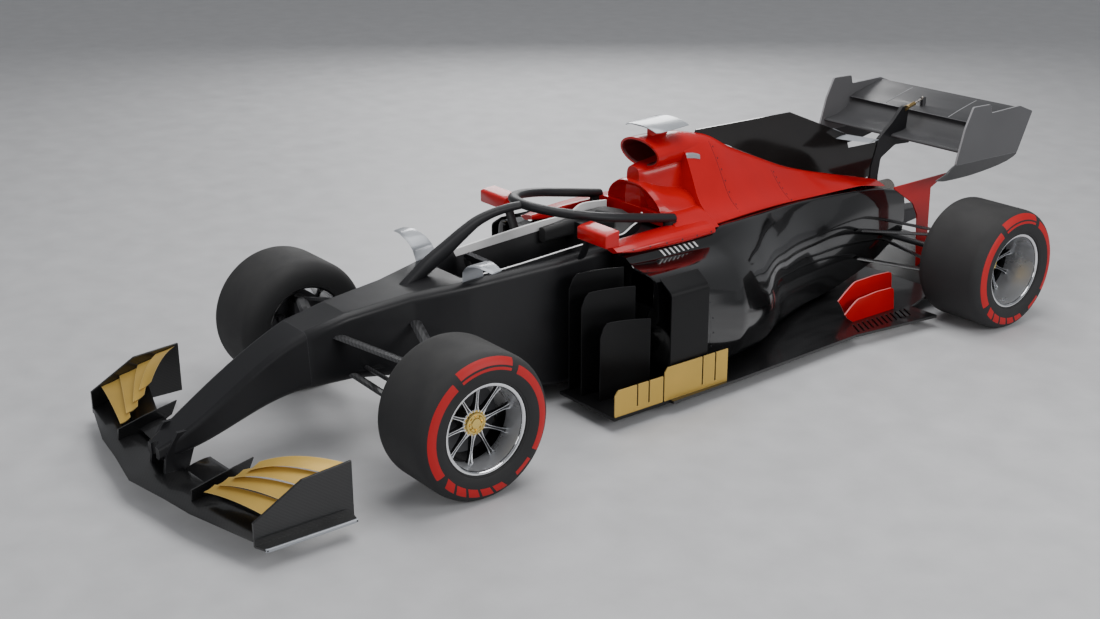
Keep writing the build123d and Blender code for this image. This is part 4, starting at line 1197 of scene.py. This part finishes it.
def make_mirrors():
    """Housings, stalks and glasses of both mirrors."""
    housings, stalks, glasses = Form(), Form(), Form()
    for hand in HANDS:
        housings.loft([
            stand(rounded(handed(oblong(*sides), hand), MIRROR_CORNER), s)
            for s, *sides in flowing(MIRROR_ROWS, 3)
        ])
        glass = rounded(handed(oblong(*MIRROR_GLASS), hand), GLASS_CORNER)
        glasses.loft([stand(glass, s) for s in GLASS_STATIONS])
        top, foot = ((hand * x, s, z) for x, s, z in (STALK_TOP, STALK_FOOT))
        blade(stalks, top, foot, STALK_CHORD, STALK_THICKNESS)
    piece("mirror_housings", "chassis", housings, [FINISH["red_paint"]], ["mirrors"], crease=40)
    piece("mirror_stalks", "chassis", stalks, [FINISH["dark_panel"]], crease=40)
    piece("mirror_glass", "chassis", glasses, [DARK_GLASS], crease=40)


# Cockpit edge strip. Columns: station, outer half width, lower, upper

STRIP_ROWS = [
    (428, 172, 668, 706),
    (640, 204, 676, 716),
    (1190, 222, 704, 750),
    (1345, 226, 712, 752),
    (1430, 226, 744, 790),
    (1545, 150, 764, 812),
]
STRIP_WIDTH = 14.0
# Padding round the driver's head. Columns: x, station, half width, lower, upper
PAD_ROWS = [
    (176, 1150, 26, 650, 726),
    (174, 1280, 30, 655, 738),
    (160, 1390, 42, 662, 760),
    (96, 1470, 52, 676, 792),
]
PAD_BACK = (0, 1486, 54, 680, 798)
PAD_CORNER = 20.0


def make_cockpit_strip():
    """Pale strip along the cockpit's edge, dark on its outer side and underside."""
    form = Form()
    for hand in HANDS:
        form.loft([
            stand(handed([(x, low), (x, high), (x - STRIP_WIDTH, high), (x - STRIP_WIDTH, low)], hand), s)
            for s, x, low, high in flowing(STRIP_ROWS, 6)
        ], kinds=[1, 0, 0, 1])
    finishes = [FINISH["pale_trim"], FINISH["dark_panel"]]
    piece("cockpit_edge_strip", "chassis", form, finishes, crease=40, soft=1.5)


def make_head_padding():
    """Horseshoe of padding round the driver's head."""
    left = [row[1:] for row in flowing([(i, *row) for i, row in enumerate(PAD_ROWS)], 5)]
    path = [*left, PAD_BACK, *[(-x, *rest) for x, *rest in reversed(left)]]
    sections = []
    for i, (x, s, half, low, high) in enumerate(path):
        before, after = path[max(i - 1, 0)], path[min(i + 1, len(path) - 1)]
        run = Vector((after[0] - before[0], after[1] - before[1])).normalized()
        out_x, out_s = run.y * half, -run.x * half
        shape = rounded(oblong(-half, half, low, high), PAD_CORNER)
        sections.append([Vector((x + out_x * w / half, at(s + out_s * w / half), z)) for w, z in shape])
    form = Form()
    form.loft(sections)
    piece("head_padding", "chassis", form, [FINISH["rim_pad"]], ["headrest"], crease=50)


# Bargeboard vanes. Columns: front x, front station, back x, back station, top

VANE_ROWS = [(360, 900, 420, 1190, 668), (455, 900, 520, 1180, 600), (560, 930, 640, 1175, 470)]
VANE_STEPS = 12
VANE_CURL = 2.2
VANE_HALF = 3.0
VANE_FOOT = 59.0
# Rounded top corner at a vane's front: its drop and its share of the length
VANE_NOSE_DROP = 70.0
VANE_NOSE_SHARE = 0.18
# Outer vane, with its top bent inwards. Columns: x and height
OUTER_VANE = [(722, 59), (730, 59), (730, 602), (640, 660), (640, 652), (722, 596)]
OUTER_VANE_STATIONS = (1228, 1470)
OUTER_VANE_CORNER = 24.0
# Footplate of the vanes and the middle plate between them: corners (x, station, height)
VANE_PLATE = ((340, 860, 59), (752, 1215, 75))
MIDDLE_PLATE = ((-350, 1025, 59), (350, 1215, 75))


def vane_sections(hand, x0, s0, x1, s1, top):
    """Sections of a curling vane from its front to its back."""
    sections = []
    for k in range(VANE_STEPS + 1):
        t = k / VANE_STEPS
        x = x0 + (x1 - x0) * t**VANE_CURL
        high = top - VANE_NOSE_DROP * (1 - min(1.0, t / VANE_NOSE_SHARE)) ** 2
        outline = oblong(x - VANE_HALF, x + VANE_HALF, VANE_FOOT, high)
        sections.append(stand(handed(outline, hand), s0 + (s1 - s0) * t))
    return sections


def make_bargeboards():
    """Vanes ahead of the sidepods, on their plates."""
    form = Form()
    for hand in HANDS:
        for row in VANE_ROWS:
            form.loft(vane_sections(hand, *row))
        bend = rounded(handed(OUTER_VANE, hand), OUTER_VANE_CORNER)
        form.loft([stand(bend, s) for s in OUTER_VANE_STATIONS])
        low, high = ((hand * x, s, z) for x, s, z in VANE_PLATE)
        block(form, low, high)
    block(form, *MIDDLE_PLATE)
    piece("bargeboard_vanes", "chassis", form, [VANE_BLACK], ["bargeboards"], crease=40, soft=1.0)


# Gold floor vanes. Columns: front station, back station, top, stations of the two slits, rear slit first

GOLD_ROWS = [(869, 1168, 208, (1080, 1008)), (1178, 1592, 246, (1510, 1425))]
GOLD_X = (742.0, 748.0)
GOLD_FOOT = 75.0
GOLD_NOSE = (20.0, 24.0)
SLIT_HALF = 5.0
SLIT_FOOT = 97.0


def make_gold_vanes():
    """Slitted vanes along the floor's edge."""
    form = Form()
    run, drop = GOLD_NOSE
    for front, back, top, slits in GOLD_ROWS:
        notches = []
        for s in slits:
            behind, before = s + SLIT_HALF, s - SLIT_HALF
            notches += [(behind, top), (behind, SLIT_FOOT), (before, SLIT_FOOT), (before, top)]
        nose = [(front + run, top), (front, top - drop)]
        outline = [(front, GOLD_FOOT), (back, GOLD_FOOT), (back, top), *notches, *nose]
        for hand in HANDS:
            plate(form, outline, hand * GOLD_X[0], hand * GOLD_X[1])
    piece("gold_floor_vanes", "chassis", form, [FINISH["gold_paint"]], ["floor_vanes"], soft=0.8)


# Red leaf fins. Columns: x, then station and height of tip, crown and back corner

LEAF_ROWS = [(572, 2637, 130, 2749, 199, 3030, 205), (496, 2663, 180, 2802, 266, 3095, 264)]
LEAF_FOOT = 66.0
LEAF_BOW_STEPS = 9
RED_THICKNESS = 9.0
TAIL_FIN_X = 250.0
TAIL_FIN = [
    (3365, 636), (3365, 648), (3835, 654), (3690, 590), (3700, 120), (3620, 110), (3588, 440), (3540, 520),
]
TAIL_FIN_CORNER = 6.0


def leaf_outline(tip_s, tip_z, crown_s, crown_z, back_s, back_z):
    """Outline of a leaf: a bowed front edge up to the crown, and a rounded back corner."""
    points = [(tip_s + 80, LEAF_FOOT), (tip_s + 20, tip_z - 24), (tip_s, tip_z)]
    for k in range(1, LEAF_BOW_STEPS):
        t = k / LEAF_BOW_STEPS
        points.append((
            tip_s * (1 - t) ** 2 + (crown_s - 40) * 2 * t * (1 - t) + crown_s * t * t + 30 * t * (1 - t),
            tip_z * (1 - t) ** 2 + (crown_z + 2) * 2 * t * (1 - t) + crown_z * t * t,
        ))
    return points + [
        (crown_s, crown_z), ((crown_s + back_s) / 2, max(crown_z, back_z) + 4), (back_s - 24, back_z),
        (back_s - 6, back_z - 8), (back_s, back_z - 28), (back_s + 12, LEAF_FOOT),
    ]


def make_red_fins():
    """Leaf fins ahead of the rear wheels, and the fins under the rear wing. The leaf fins' rims carry a
    painted highlight of pale red.
    """
    form = Form()
    for hand in HANDS:
        for x, *leaf in LEAF_ROWS:
            plate(form, leaf_outline(*leaf), hand * x, hand * (x + RED_THICKNESS), rim_kind=1)
        plate(form, TAIL_FIN, hand * TAIL_FIN_X, hand * (TAIL_FIN_X + RED_THICKNESS), radius=TAIL_FIN_CORNER)
    finishes = [FINISH["red_paint"], RED_HIGHLIGHT_RIM]
    piece("red_leaf_fins", "chassis", form, finishes, ["red_fins"], soft=0.8)


# Rear wing endplates, each with a lower sheet that bends inward

REAR_PLATE = [
    (3669, 1118), (3821, 1114), (3835, 1062), (4098, 1068), (4222, 1021), (4112, 790), (3800, 797),
    (3550, 800), (3610, 1003),
]
REAR_PLATE_X = (515.0, 527.0)
REAR_PLATE_CORNER = 10.0
# Lower sheet. Columns: station and height at the crease, x, station and height of the lower edge
LOWER_SHEET = [
    (3486, 764, 512, 3400, 733),
    (3550, 800, 496, 3500, 712),
    (3800, 797, 476, 3720, 700),
    (3960, 794, 484, 3930, 716),
    (4100, 791, 505, 4110, 762),
    (4112, 790, 518, 4114, 780),
]
CREASE_X = (517.0, 526.0)
CREASE_LAP = 2.0
SHEET_HALF = 4.0
# Outline of the swan neck pylon
NECK_OUTLINE = [
    (3440, 440), (3440, 700), (3474, 800), (3490, 862), (3600, 945), (3693, 1034), (3745, 1020), (3736, 966),
    (3726, 878), (3780, 838), (3770, 800), (3640, 808), (3520, 745), (3505, 640), (3520, 440),
]
NECK_HALF = 11.0
SWAN_CORNER = 14.0
# Main plane. Columns: station, upper height, lower height
MAIN_PLANE_ROWS = [
    (3597, 868, 866), (3604, 876, 859), (3630, 880, 855), (3690, 885, 860), (3750, 902, 880), (3800, 930, 914),
    (3830, 958, 948), (3846, 980, 976),
]
MAIN_PLANE_HALF = 514.5


def make_rear_wing():
    """Endplates with their lower sheets, the swan neck and the main plane. The endplates' rims carry a pale
    painted highlight.
    """
    form = Form()
    inner, outer = CREASE_X
    for hand in HANDS:
        plate(form, REAR_PLATE, hand * REAR_PLATE_X[0], hand * REAR_PLATE_X[1], REAR_PLATE_CORNER, rim_kind=1)
        form.loft([
            [
                Vector((hand * inner, at(s0), z0 + CREASE_LAP)),
                Vector((hand * outer, at(s0), z0 + CREASE_LAP)),
                Vector((hand * (x1 + SHEET_HALF), at(s1), z1)),
                Vector((hand * (x1 - SHEET_HALF), at(s1), z1)),
            ]
            for s0, z0, x1, s1, z1 in flowing(LOWER_SHEET, 3)
        ], kind=2)
    finishes = [PLATE_GREY, PALE_HIGHLIGHT_AND_SLOT, FINISH["wing_grey"]]
    piece("rear_wing_sides", "chassis", form, finishes, ["rear_wing_endplates"], soft=0.8)

    form = Form()
    plate(form, NECK_OUTLINE, -NECK_HALF, NECK_HALF, SWAN_CORNER)
    piece("swan_neck", "chassis", form, [FINISH["dark_panel"]], ["rear_wing_pylon"], soft=2.0)

    form = Form()
    rows = flowing(MAIN_PLANE_ROWS, 4)
    section = [(s, high) for s, high, low in rows] + [(s, low) for s, high, low in reversed(rows)]
    form.loft([[Vector((x, at(s), z)) for s, z in section] for x in (-MAIN_PLANE_HALF, MAIN_PLANE_HALF)])
    finishes = [FINISH["wing_grey"]]
    piece("rear_main_plane", "chassis", form, finishes, ["rear_wing_main"], crease=50)


# Front wing flaps. Columns: inner x, front and back edge inside, front and back edge outside, each station and
# height, then the rise at mid span

FLAP_ROWS = [
    (425, -1056, 168, -1006, 186, -985, 200, -885, 222, 14),
    (455, -1012, 196, -955, 216, -893, 232, -790, 254, 20),
    (490, -962, 226, -905, 248, -798, 264, -695, 286, 28),
    (530, -912, 258, -850, 284, -703, 296, -606, 312, 32),
]
FLAP_END_X = 806.0
FLAP_STEPS = 14
FLAP_CHORD_STEPS = 5
FLAP_SKEW = 0.25
FLAP_SAG = 22.0
FLAP_SAG_FADE = 0.4
FLAP_LEADING = 1.0
FLAP_TRAILING = 1.2
FLAP_BODY = 4.5


def flap_section(hand, x, front, back, sag):
    """Section of a flap between its front and back edge (station, height), sagging between them."""
    upper, lower = [], []
    for m in range(FLAP_CHORD_STEPS + 1):
        q = m / FLAP_CHORD_STEPS
        s = front[0] + (back[0] - front[0]) * q
        z = front[1] + (back[1] - front[1]) * q - FLAP_SAG * q * (1 - q) * sag
        thick = FLAP_BODY * (1 - q) ** 0.5 + FLAP_TRAILING if m else FLAP_LEADING
        upper.append(Vector((hand * x, at(s), z + thick / 2)))
        lower.append(Vector((hand * x, at(s), z - thick / 2)))
    return upper + lower[::-1]


def make_front_flaps():
    """The gold flaps stacked on each half of the front wing."""
    form = Form()
    for x0, ls, lz, ts, tz, outer_ls, outer_lz, outer_ts, outer_tz, rise in FLAP_ROWS:
        for hand in HANDS:
            sections = []
            for k in range(FLAP_STEPS + 1):
                t = k / FLAP_STEPS
                lift = rise * 4 * t * (1 - t) * (1 - FLAP_SKEW * t)
                front = (ls + (outer_ls - ls) * t, lz + (outer_lz - lz) * t + lift)
                back = (ts + (outer_ts - ts) * t, tz + (outer_tz - tz) * t + lift)
                x = x0 + (FLAP_END_X - x0) * t
                sections.append(flap_section(hand, x, front, back, 1 - t * FLAP_SAG_FADE))
            form.loft(sections)
    finishes = [FINISH["gold_paint"]]
    piece("front_flap_stack", "chassis", form, finishes, ["front_wing_flaps"], crease=50)


# Louvres under the cover's shoulder: first station, last station, count

LOUVRES = (1436, 1655, 8)
LOUVRE_X = 418.0
LOUVRE_HALF = 6.0
LOUVRE_DEPTH = 14.0
# Ends of a louvre. Columns: height, station from its middle, how far in
LOUVRE_ENDS = [(672, 16, 0), (704, -10, 10)]


def make_louvres():
    """Rows of leaning white slats."""
    form = Form()
    first, last, count = LOUVRES
    foot = oblong(-LOUVRE_HALF, LOUVRE_HALF, 0, LOUVRE_DEPTH)
    for hand in HANDS:
        for k in range(count):
            s = first + (last - first) * k / (count - 1)
            form.loft([
                [Vector((hand * (LOUVRE_X + out - run), at(s + d + lean), z)) for d, out in foot]
                for z, lean, run in LOUVRE_ENDS
            ])
    piece("white_louvres", "chassis", form, [WHITE_SLAT], soft=0.8)


# Seams and fasteners, laid on the skins

SIDE_FAR = 900.0
SEAM_HALF = 1.4
SEAM_RISE = 0.25
SEAM_SINK = 1.5
SEAM_STEPS = 24
# A fastener head. Columns: radius, height over the skin
STUD_ROWS = [(5.0, -1.5), (5.0, 0.42), (4.0, 0.7), (2.4, 0.7), (1.8, 0.1)]
STUD_POINTS = 12
STUD_PITCH = 4
STUD_BESIDE = 16.0
# Seams. Columns: station at the foot, station at the top, foot height, top height
COVER_SEAMS = [(2080, 2060, 752, 1085), (2560, 2540, 690, 850)]
POD_SEAMS = [(1560, 1500, 120, 600), (2200, 2150, 110, 560)]
# Fasteners along the shoulder: first station, pitch, count, height
SHOULDER_STUDS = (1260, 100, 6, 736)


def touch(surface, s, z, hand):
    """Where a line from the car's side first meets a skin, and the skin's outward direction there, or None."""
    spot, out = surface.ray_cast(Vector((hand * SIDE_FAR, at(s), z)), Vector((-hand, 0, 0)))[:2]
    if spot is None:
        return None
    return spot, (-out if out.x * hand < 0 else out)


def seam(form, places):
    """A thin strip that follows a row of places on a skin."""
    line = [spot for spot, out in places]
    sections = []
    for i, (spot, out) in enumerate(places):
        across = ahead(line, i).cross(out).normalized() * SEAM_HALF
        sections.append([
            spot - across + out * SEAM_RISE, spot + across + out * SEAM_RISE,
            spot + across - out * SEAM_SINK, spot - across - out * SEAM_SINK,
        ])
    form.loft(sections)


def stud(form, spot, out):
    """A flush fastener head with a slot ring."""
    one = out.cross(Vector((0, 1, 0))).normalized()
    two = out.cross(one)
    form.loft([
        [spot + one * r * c + two * r * s + out * rise for c, s in circle(STUD_POINTS)]
        for r, rise in STUD_ROWS
    ])


def make_seams(cover, pods):
    """Panel seams with their fasteners, on the cover and the sidepods."""
    seams, studs = Form(), Form()
    for hand in HANDS:
        stud_places = []
        for rows, surface in ((COVER_SEAMS, cover), (POD_SEAMS, pods[hand])):
            for s0, s1, z0, z1 in rows:
                line = [
                    (s0 + (s1 - s0) * k / SEAM_STEPS, z0 + (z1 - z0) * k / SEAM_STEPS)
                    for k in range(SEAM_STEPS + 1)
                ]
                places = [touch(surface, s, z, hand) for s, z in line]
                seam(seams, [place for place in places if place])
                stud_places += [touch(surface, s + STUD_BESIDE, z, hand) for s, z in line[2::STUD_PITCH]]
        first, pitch, count, height = SHOULDER_STUDS
        stud_places += [touch(cover, first + pitch * k, height, hand) for k in range(count)]
        for found in stud_places:
            if found:
                stud(studs, *found)
    piece("panel_seams", "chassis", seams, [RIM_BLACK], crease=50)
    piece("panel_fasteners", "chassis", studs, [FINISH["dark_metal"]], crease=40)


# Steering wheel face. Its centre is x, station and height, and its tilt is in degrees. Places on it are
# across, down and out of the tilted face

WHEEL_CENTRE = (0.0, 660.0, 640.0)
WHEEL_TILT = 18.0
WHEEL_POINTS = 16
# Display frame and glass. Columns: half width, half height, back and front out of the face, finish
DISPLAY_ROWS = [(52, 30, 10, 15, 0), (44, 23, 14, 15.6, 1)]
DISPLAY_RAISE = -8
DISPLAY_CORNER = 8.0
# Knobs. Columns: across, down the face, radius; then the share of the radius and the height of each ring
KNOBS = [
    (-58, 34, 9), (58, 34, 9), (-26, 48, 8), (26, 48, 8), (0, 56, 9), (-62, -44, 6), (62, -44, 6),
    (-40, -56, 5), (40, -56, 5),
]
KNOB_RINGS = [(1.25, 10), (1.25, 14), (1.0, 15), (0.85, 22), (0.7, 23)]
# Grips. Columns: down the face, radius
GRIP_ROWS = [(-56, 9), (-50, 15), (-20, 17), (0, 15), (22, 17), (48, 15), (54, 9)]
GRIP_ACROSS = 122.0
GRIP_DEPTH = 1.2


def on_wheel(across, down, out):
    """A point on the steering wheel."""
    tilt_sin, tilt_cos = sin(radians(WHEEL_TILT)), cos(radians(WHEEL_TILT))
    x, s, z = WHEEL_CENTRE
    return Vector((x + across, at(s) + down * tilt_sin + out * tilt_cos, z - down * tilt_cos + out * tilt_sin))


def make_wheel_face():
    """Display, knobs and grips of the steering wheel."""
    form = Form()
    for wide, tall, low, high, kind in DISPLAY_ROWS:
        outline = oblong(-wide, wide, DISPLAY_RAISE - tall, DISPLAY_RAISE + tall)
        shape = rounded(outline, DISPLAY_CORNER)
        form.loft([[on_wheel(p.x, p.y, out) for p in shape] for out in (low, high)], kind=kind)
    for across, down, r in KNOBS:
        form.loft([
            [on_wheel(across + share * r * c, down + share * r * s, out) for c, s in circle(WHEEL_POINTS)]
            for share, out in KNOB_RINGS
        ], kind=2)
    for hand in HANDS:
        form.loft([
            [on_wheel(hand * GRIP_ACROSS + r * c, down, r * s * GRIP_DEPTH) for c, s in circle(WHEEL_POINTS)]
            for down, r in GRIP_ROWS
        ], kind=3)
    finishes = [FINISH["dark_metal"], DARK_GLASS, FINISH["gold_paint"], FINISH["rim_pad"]]
    piece("steering_wheel_face", "steering_wheel", form, finishes, crease=40)


# Seat belts. Columns: station and height along each strap, from the buckle up

BELT_ROWS = [(930, 192), (1000, 215), (1040, 300), (1082, 390), (1120, 470), (1152, 536)]
BELT_HALF = 22.0
BELT_THICKNESS = 3.0
BELT_LEAN = 0.4
BELT_LIFT = (-7.0, 5.0)
BELT_X = (14.0, 56.0)
BUCKLE = (26.0, 928.0, 188.0, 206.0)
BUCKLE_POINTS = 20


def make_belts():
    """Shoulder straps that spread from the buckle."""
    form = Form()
    low_x, high_x = BELT_X
    first, last = BELT_ROWS[0][0], BELT_ROWS[-1][0]
    forward, lift = BELT_LIFT
    for hand in HANDS:
        sections = []
        for s, z in flowing(BELT_ROWS, 3):
            middle = hand * (low_x + (high_x - low_x) * (s - first) / (last - first))
            sections.append([
                Vector((middle + w, at(s + forward + d), z + lift + d * BELT_LEAN))
                for w, d in oblong(-BELT_HALF, BELT_HALF, 0, BELT_THICKNESS)
            ])
        form.loft(sections)
    radius, station, low, high = BUCKLE
    form.loft([
        [Vector((radius * c, at(station + radius * s), z)) for c, s in circle(BUCKLE_POINTS)]
        for z in (low, high)
    ], kind=1)
    piece("seat_belts", "chassis", form, [FINISH["rim_pad"], FINISH["dark_metal"]], crease=40)


# Rear light lens: half width, lower and upper height, stations of its root and face, and the bevel of its face

LENS = (36.0, 342.0, 378.0)
LENS_STATIONS = (3959.0, 3966.0)
LENS_BEVEL = (3.0, 2.0)
LENS_CORNER = 8.0
# Pale edge of the front wing's footplates, a painted highlight, outline first. Columns of the rows: station,
# how far in
FOOT_EDGE = (872.0, 884.0, 72.0, 88.0)
FOOT_EDGE_ROWS = [(-1016, 4), (-1000, 0), (-620, 0), (-600, 4)]
FOOT_EDGE_CORNER = 5.0
# Slot lines on the rear flap: their x, the flap's edges (station, height), its bow and the reach of the line
SLOT_X = 238.0
FLAP_EDGES = ((3812, 985), (4100, 1056))
FLAP_BOW = 16.0
SLOT_SHARES = (0.03, 0.97)
SLOT_STEPS = 8
SLOT_SECTION = (-2.5, 2.5, -3.0, 1.2)


def make_light_lens():
    """Lens of the rear light."""
    form = Form()
    wide, low, high = LENS
    root, face = LENS_STATIONS
    bevel, depth = LENS_BEVEL
    form.loft([
        stand(rounded(oblong(q - wide, wide - q, low + q, high - q), LENS_CORNER), s)
        for q, s in ((0, root), (0, face - depth), (bevel, face))
    ])
    piece("rear_light_lens", "chassis", form, [LAMP_RED], crease=40)


def make_footplate_highlight_strips():
    """Pale edges of the front wing's footplates: strips that stand for painted highlights."""
    form = Form()
    x0, x1, z0, z1 = FOOT_EDGE
    for hand in HANDS:
        form.loft([
            stand(rounded(handed(oblong(x0 - run, x1 - run, z0, z1), hand), FOOT_EDGE_CORNER), s)
            for s, run in FOOT_EDGE_ROWS
        ])
    piece("footplate_highlight_strips", "chassis", form, [FINISH["grey_panel"]], crease=50)


def make_flap_slots():
    """Pale slot lines across the rear flap."""
    form = Form()
    (s0, z0), (s1, z1) = FLAP_EDGES
    first, last = SLOT_SHARES
    shares = [first + (last - first) * k / SLOT_STEPS for k in range(SLOT_STEPS + 1)]
    for hand in HANDS:
        sections = []
        for q in shares:
            s = s0 + (s1 - s0) * q
            z = z0 + (z1 - z0) * q + FLAP_BOW * q * (1 - q)
            sections.append([Vector((hand * SLOT_X + w, at(s), z + up)) for w, up in oblong(*SLOT_SECTION)])
        form.loft(sections)
    piece("flap_slot_lines", "rear_flap", form, [PALE_HIGHLIGHT_AND_SLOT], crease=50)


# CAD nodes that keep their own shape get their finish, and all but the smooth ones get softened edges

SMOOTH_NODES = ("nose", "gearbox")
EDGE_RADIUS = 1.2
WELD_REACH = 0.02


def dress(name):
    """Gives a CAD node its finish, and softens its edges."""
    shown = NODES[name]
    shown.data.materials.clear()
    shown.data.materials.append(FINISH[SLOT_OF[name]])
    if name in SMOOTH_NODES:
        return
    weld = shown.modifiers.new("weld", "WELD")
    weld.merge_threshold = WELD_REACH * MM
    soften(shown, EDGE_RADIUS)


# Studio, in metres

FLOOR_HALF = 60.0
# Soft boxes. Columns: name, place, size across, size along, power
SOFT_BOXES = [
    ("overhead", (0.0, 0.3, 5.6), 6.5, 4.0, 260.0),
    ("behind", (-6.0, 4.5, 3.6), 4.0, 2.4, 240.0),
    ("near_side", (6.4, 1.6, 3.2), 4.0, 2.0, 170.0),
    ("nose_side", (1.6, -7.0, 3.0), 4.0, 2.0, 90.0),
]
LAMP_AIM = (0, 0, 0.4)
WORLD_TONE = (0.52, 0.53, 0.55, 1)
WORLD_STRENGTH = 0.55
# Camera where the photograph was taken from: place, lens and sensor in millimetres, turn and roll in degrees
CAMERA_PLACE = (5.68584, -4.83238, 3.02337)
CAMERA_LENS = 49.58
CAMERA_SENSOR = 36.0
CAMERA_TURN = (69.61, 0.0, 52.34)
CAMERA_ROLL = -0.18


def make_floor():
    """Plain pale floor."""
    data = bpy.data.meshes.new("studio_floor")
    outline = oblong(-FLOOR_HALF, FLOOR_HALF, -FLOOR_HALF, FLOOR_HALF)
    data.from_pydata([(x, y, 0) for x, y in outline], [], [(0, 1, 2, 3)])
    studio_floor = bpy.data.objects.new("studio_floor", data)
    bpy.context.scene.collection.objects.link(studio_floor)
    data.materials.append(coat("pale_floor", (0.62, 0.62, 0.63), 0.45, 0.55, grain=(40.0, 0.01)))


def make_lamps():
    """Soft boxes round the car, and the even light of the room."""
    for name, spot, wide, long, power in SOFT_BOXES:
        data = bpy.data.lights.new(name, "AREA")
        data.shape = "RECTANGLE"
        data.size = wide
        data.size_y = long
        data.energy = power
        lamp = bpy.data.objects.new(name, data)
        lamp.location = spot
        aim = Vector(LAMP_AIM) - Vector(spot)
        lamp.rotation_euler = aim.to_track_quat("-Z", "Y").to_euler()
        bpy.context.scene.collection.objects.link(lamp)
    world = bpy.data.worlds.new("studio")
    world.use_nodes = True
    set_values(world.node_tree.nodes["Background"], Color=WORLD_TONE, Strength=WORLD_STRENGTH)
    bpy.context.scene.world = world


def make_camera():
    """Camera at the photograph's angle."""
    lens = bpy.data.cameras.new("camera")
    lens.lens = CAMERA_LENS
    lens.sensor_width = CAMERA_SENSOR
    camera = bpy.data.objects.new("camera", lens)
    camera.location = CAMERA_PLACE
    turn = Euler([radians(a) for a in CAMERA_TURN]).to_matrix() @ Matrix.Rotation(radians(CAMERA_ROLL), 3, "Z")
    camera.rotation_euler = turn.to_euler()
    bpy.context.scene.collection.objects.link(camera)
    bpy.context.scene.camera = camera


# The car

for wheel_end in ("front", "rear"):
    make_wheel(wheel_end, "left", 1)
    make_wheel(wheel_end, "right", -1)
cover_skin = make_engine_cover()
pod_skins = make_sidepods()
make_halo()
make_horn_winglets()
make_camera_pod()
make_side_camera()
make_mirrors()
make_cockpit_strip()
make_head_padding()
make_bargeboards()
make_gold_vanes()
make_red_fins()
make_rear_wing()
make_front_flaps()
make_louvres()
make_seams(cover_skin, pod_skins)
make_wheel_face()
make_belts()
make_light_lens()
make_footplate_highlight_strips()
make_flap_slots()
for node_name in NODES:
    if node_name not in REPLACED:
        dress(node_name)

make_floor()
make_lamps()
make_camera()
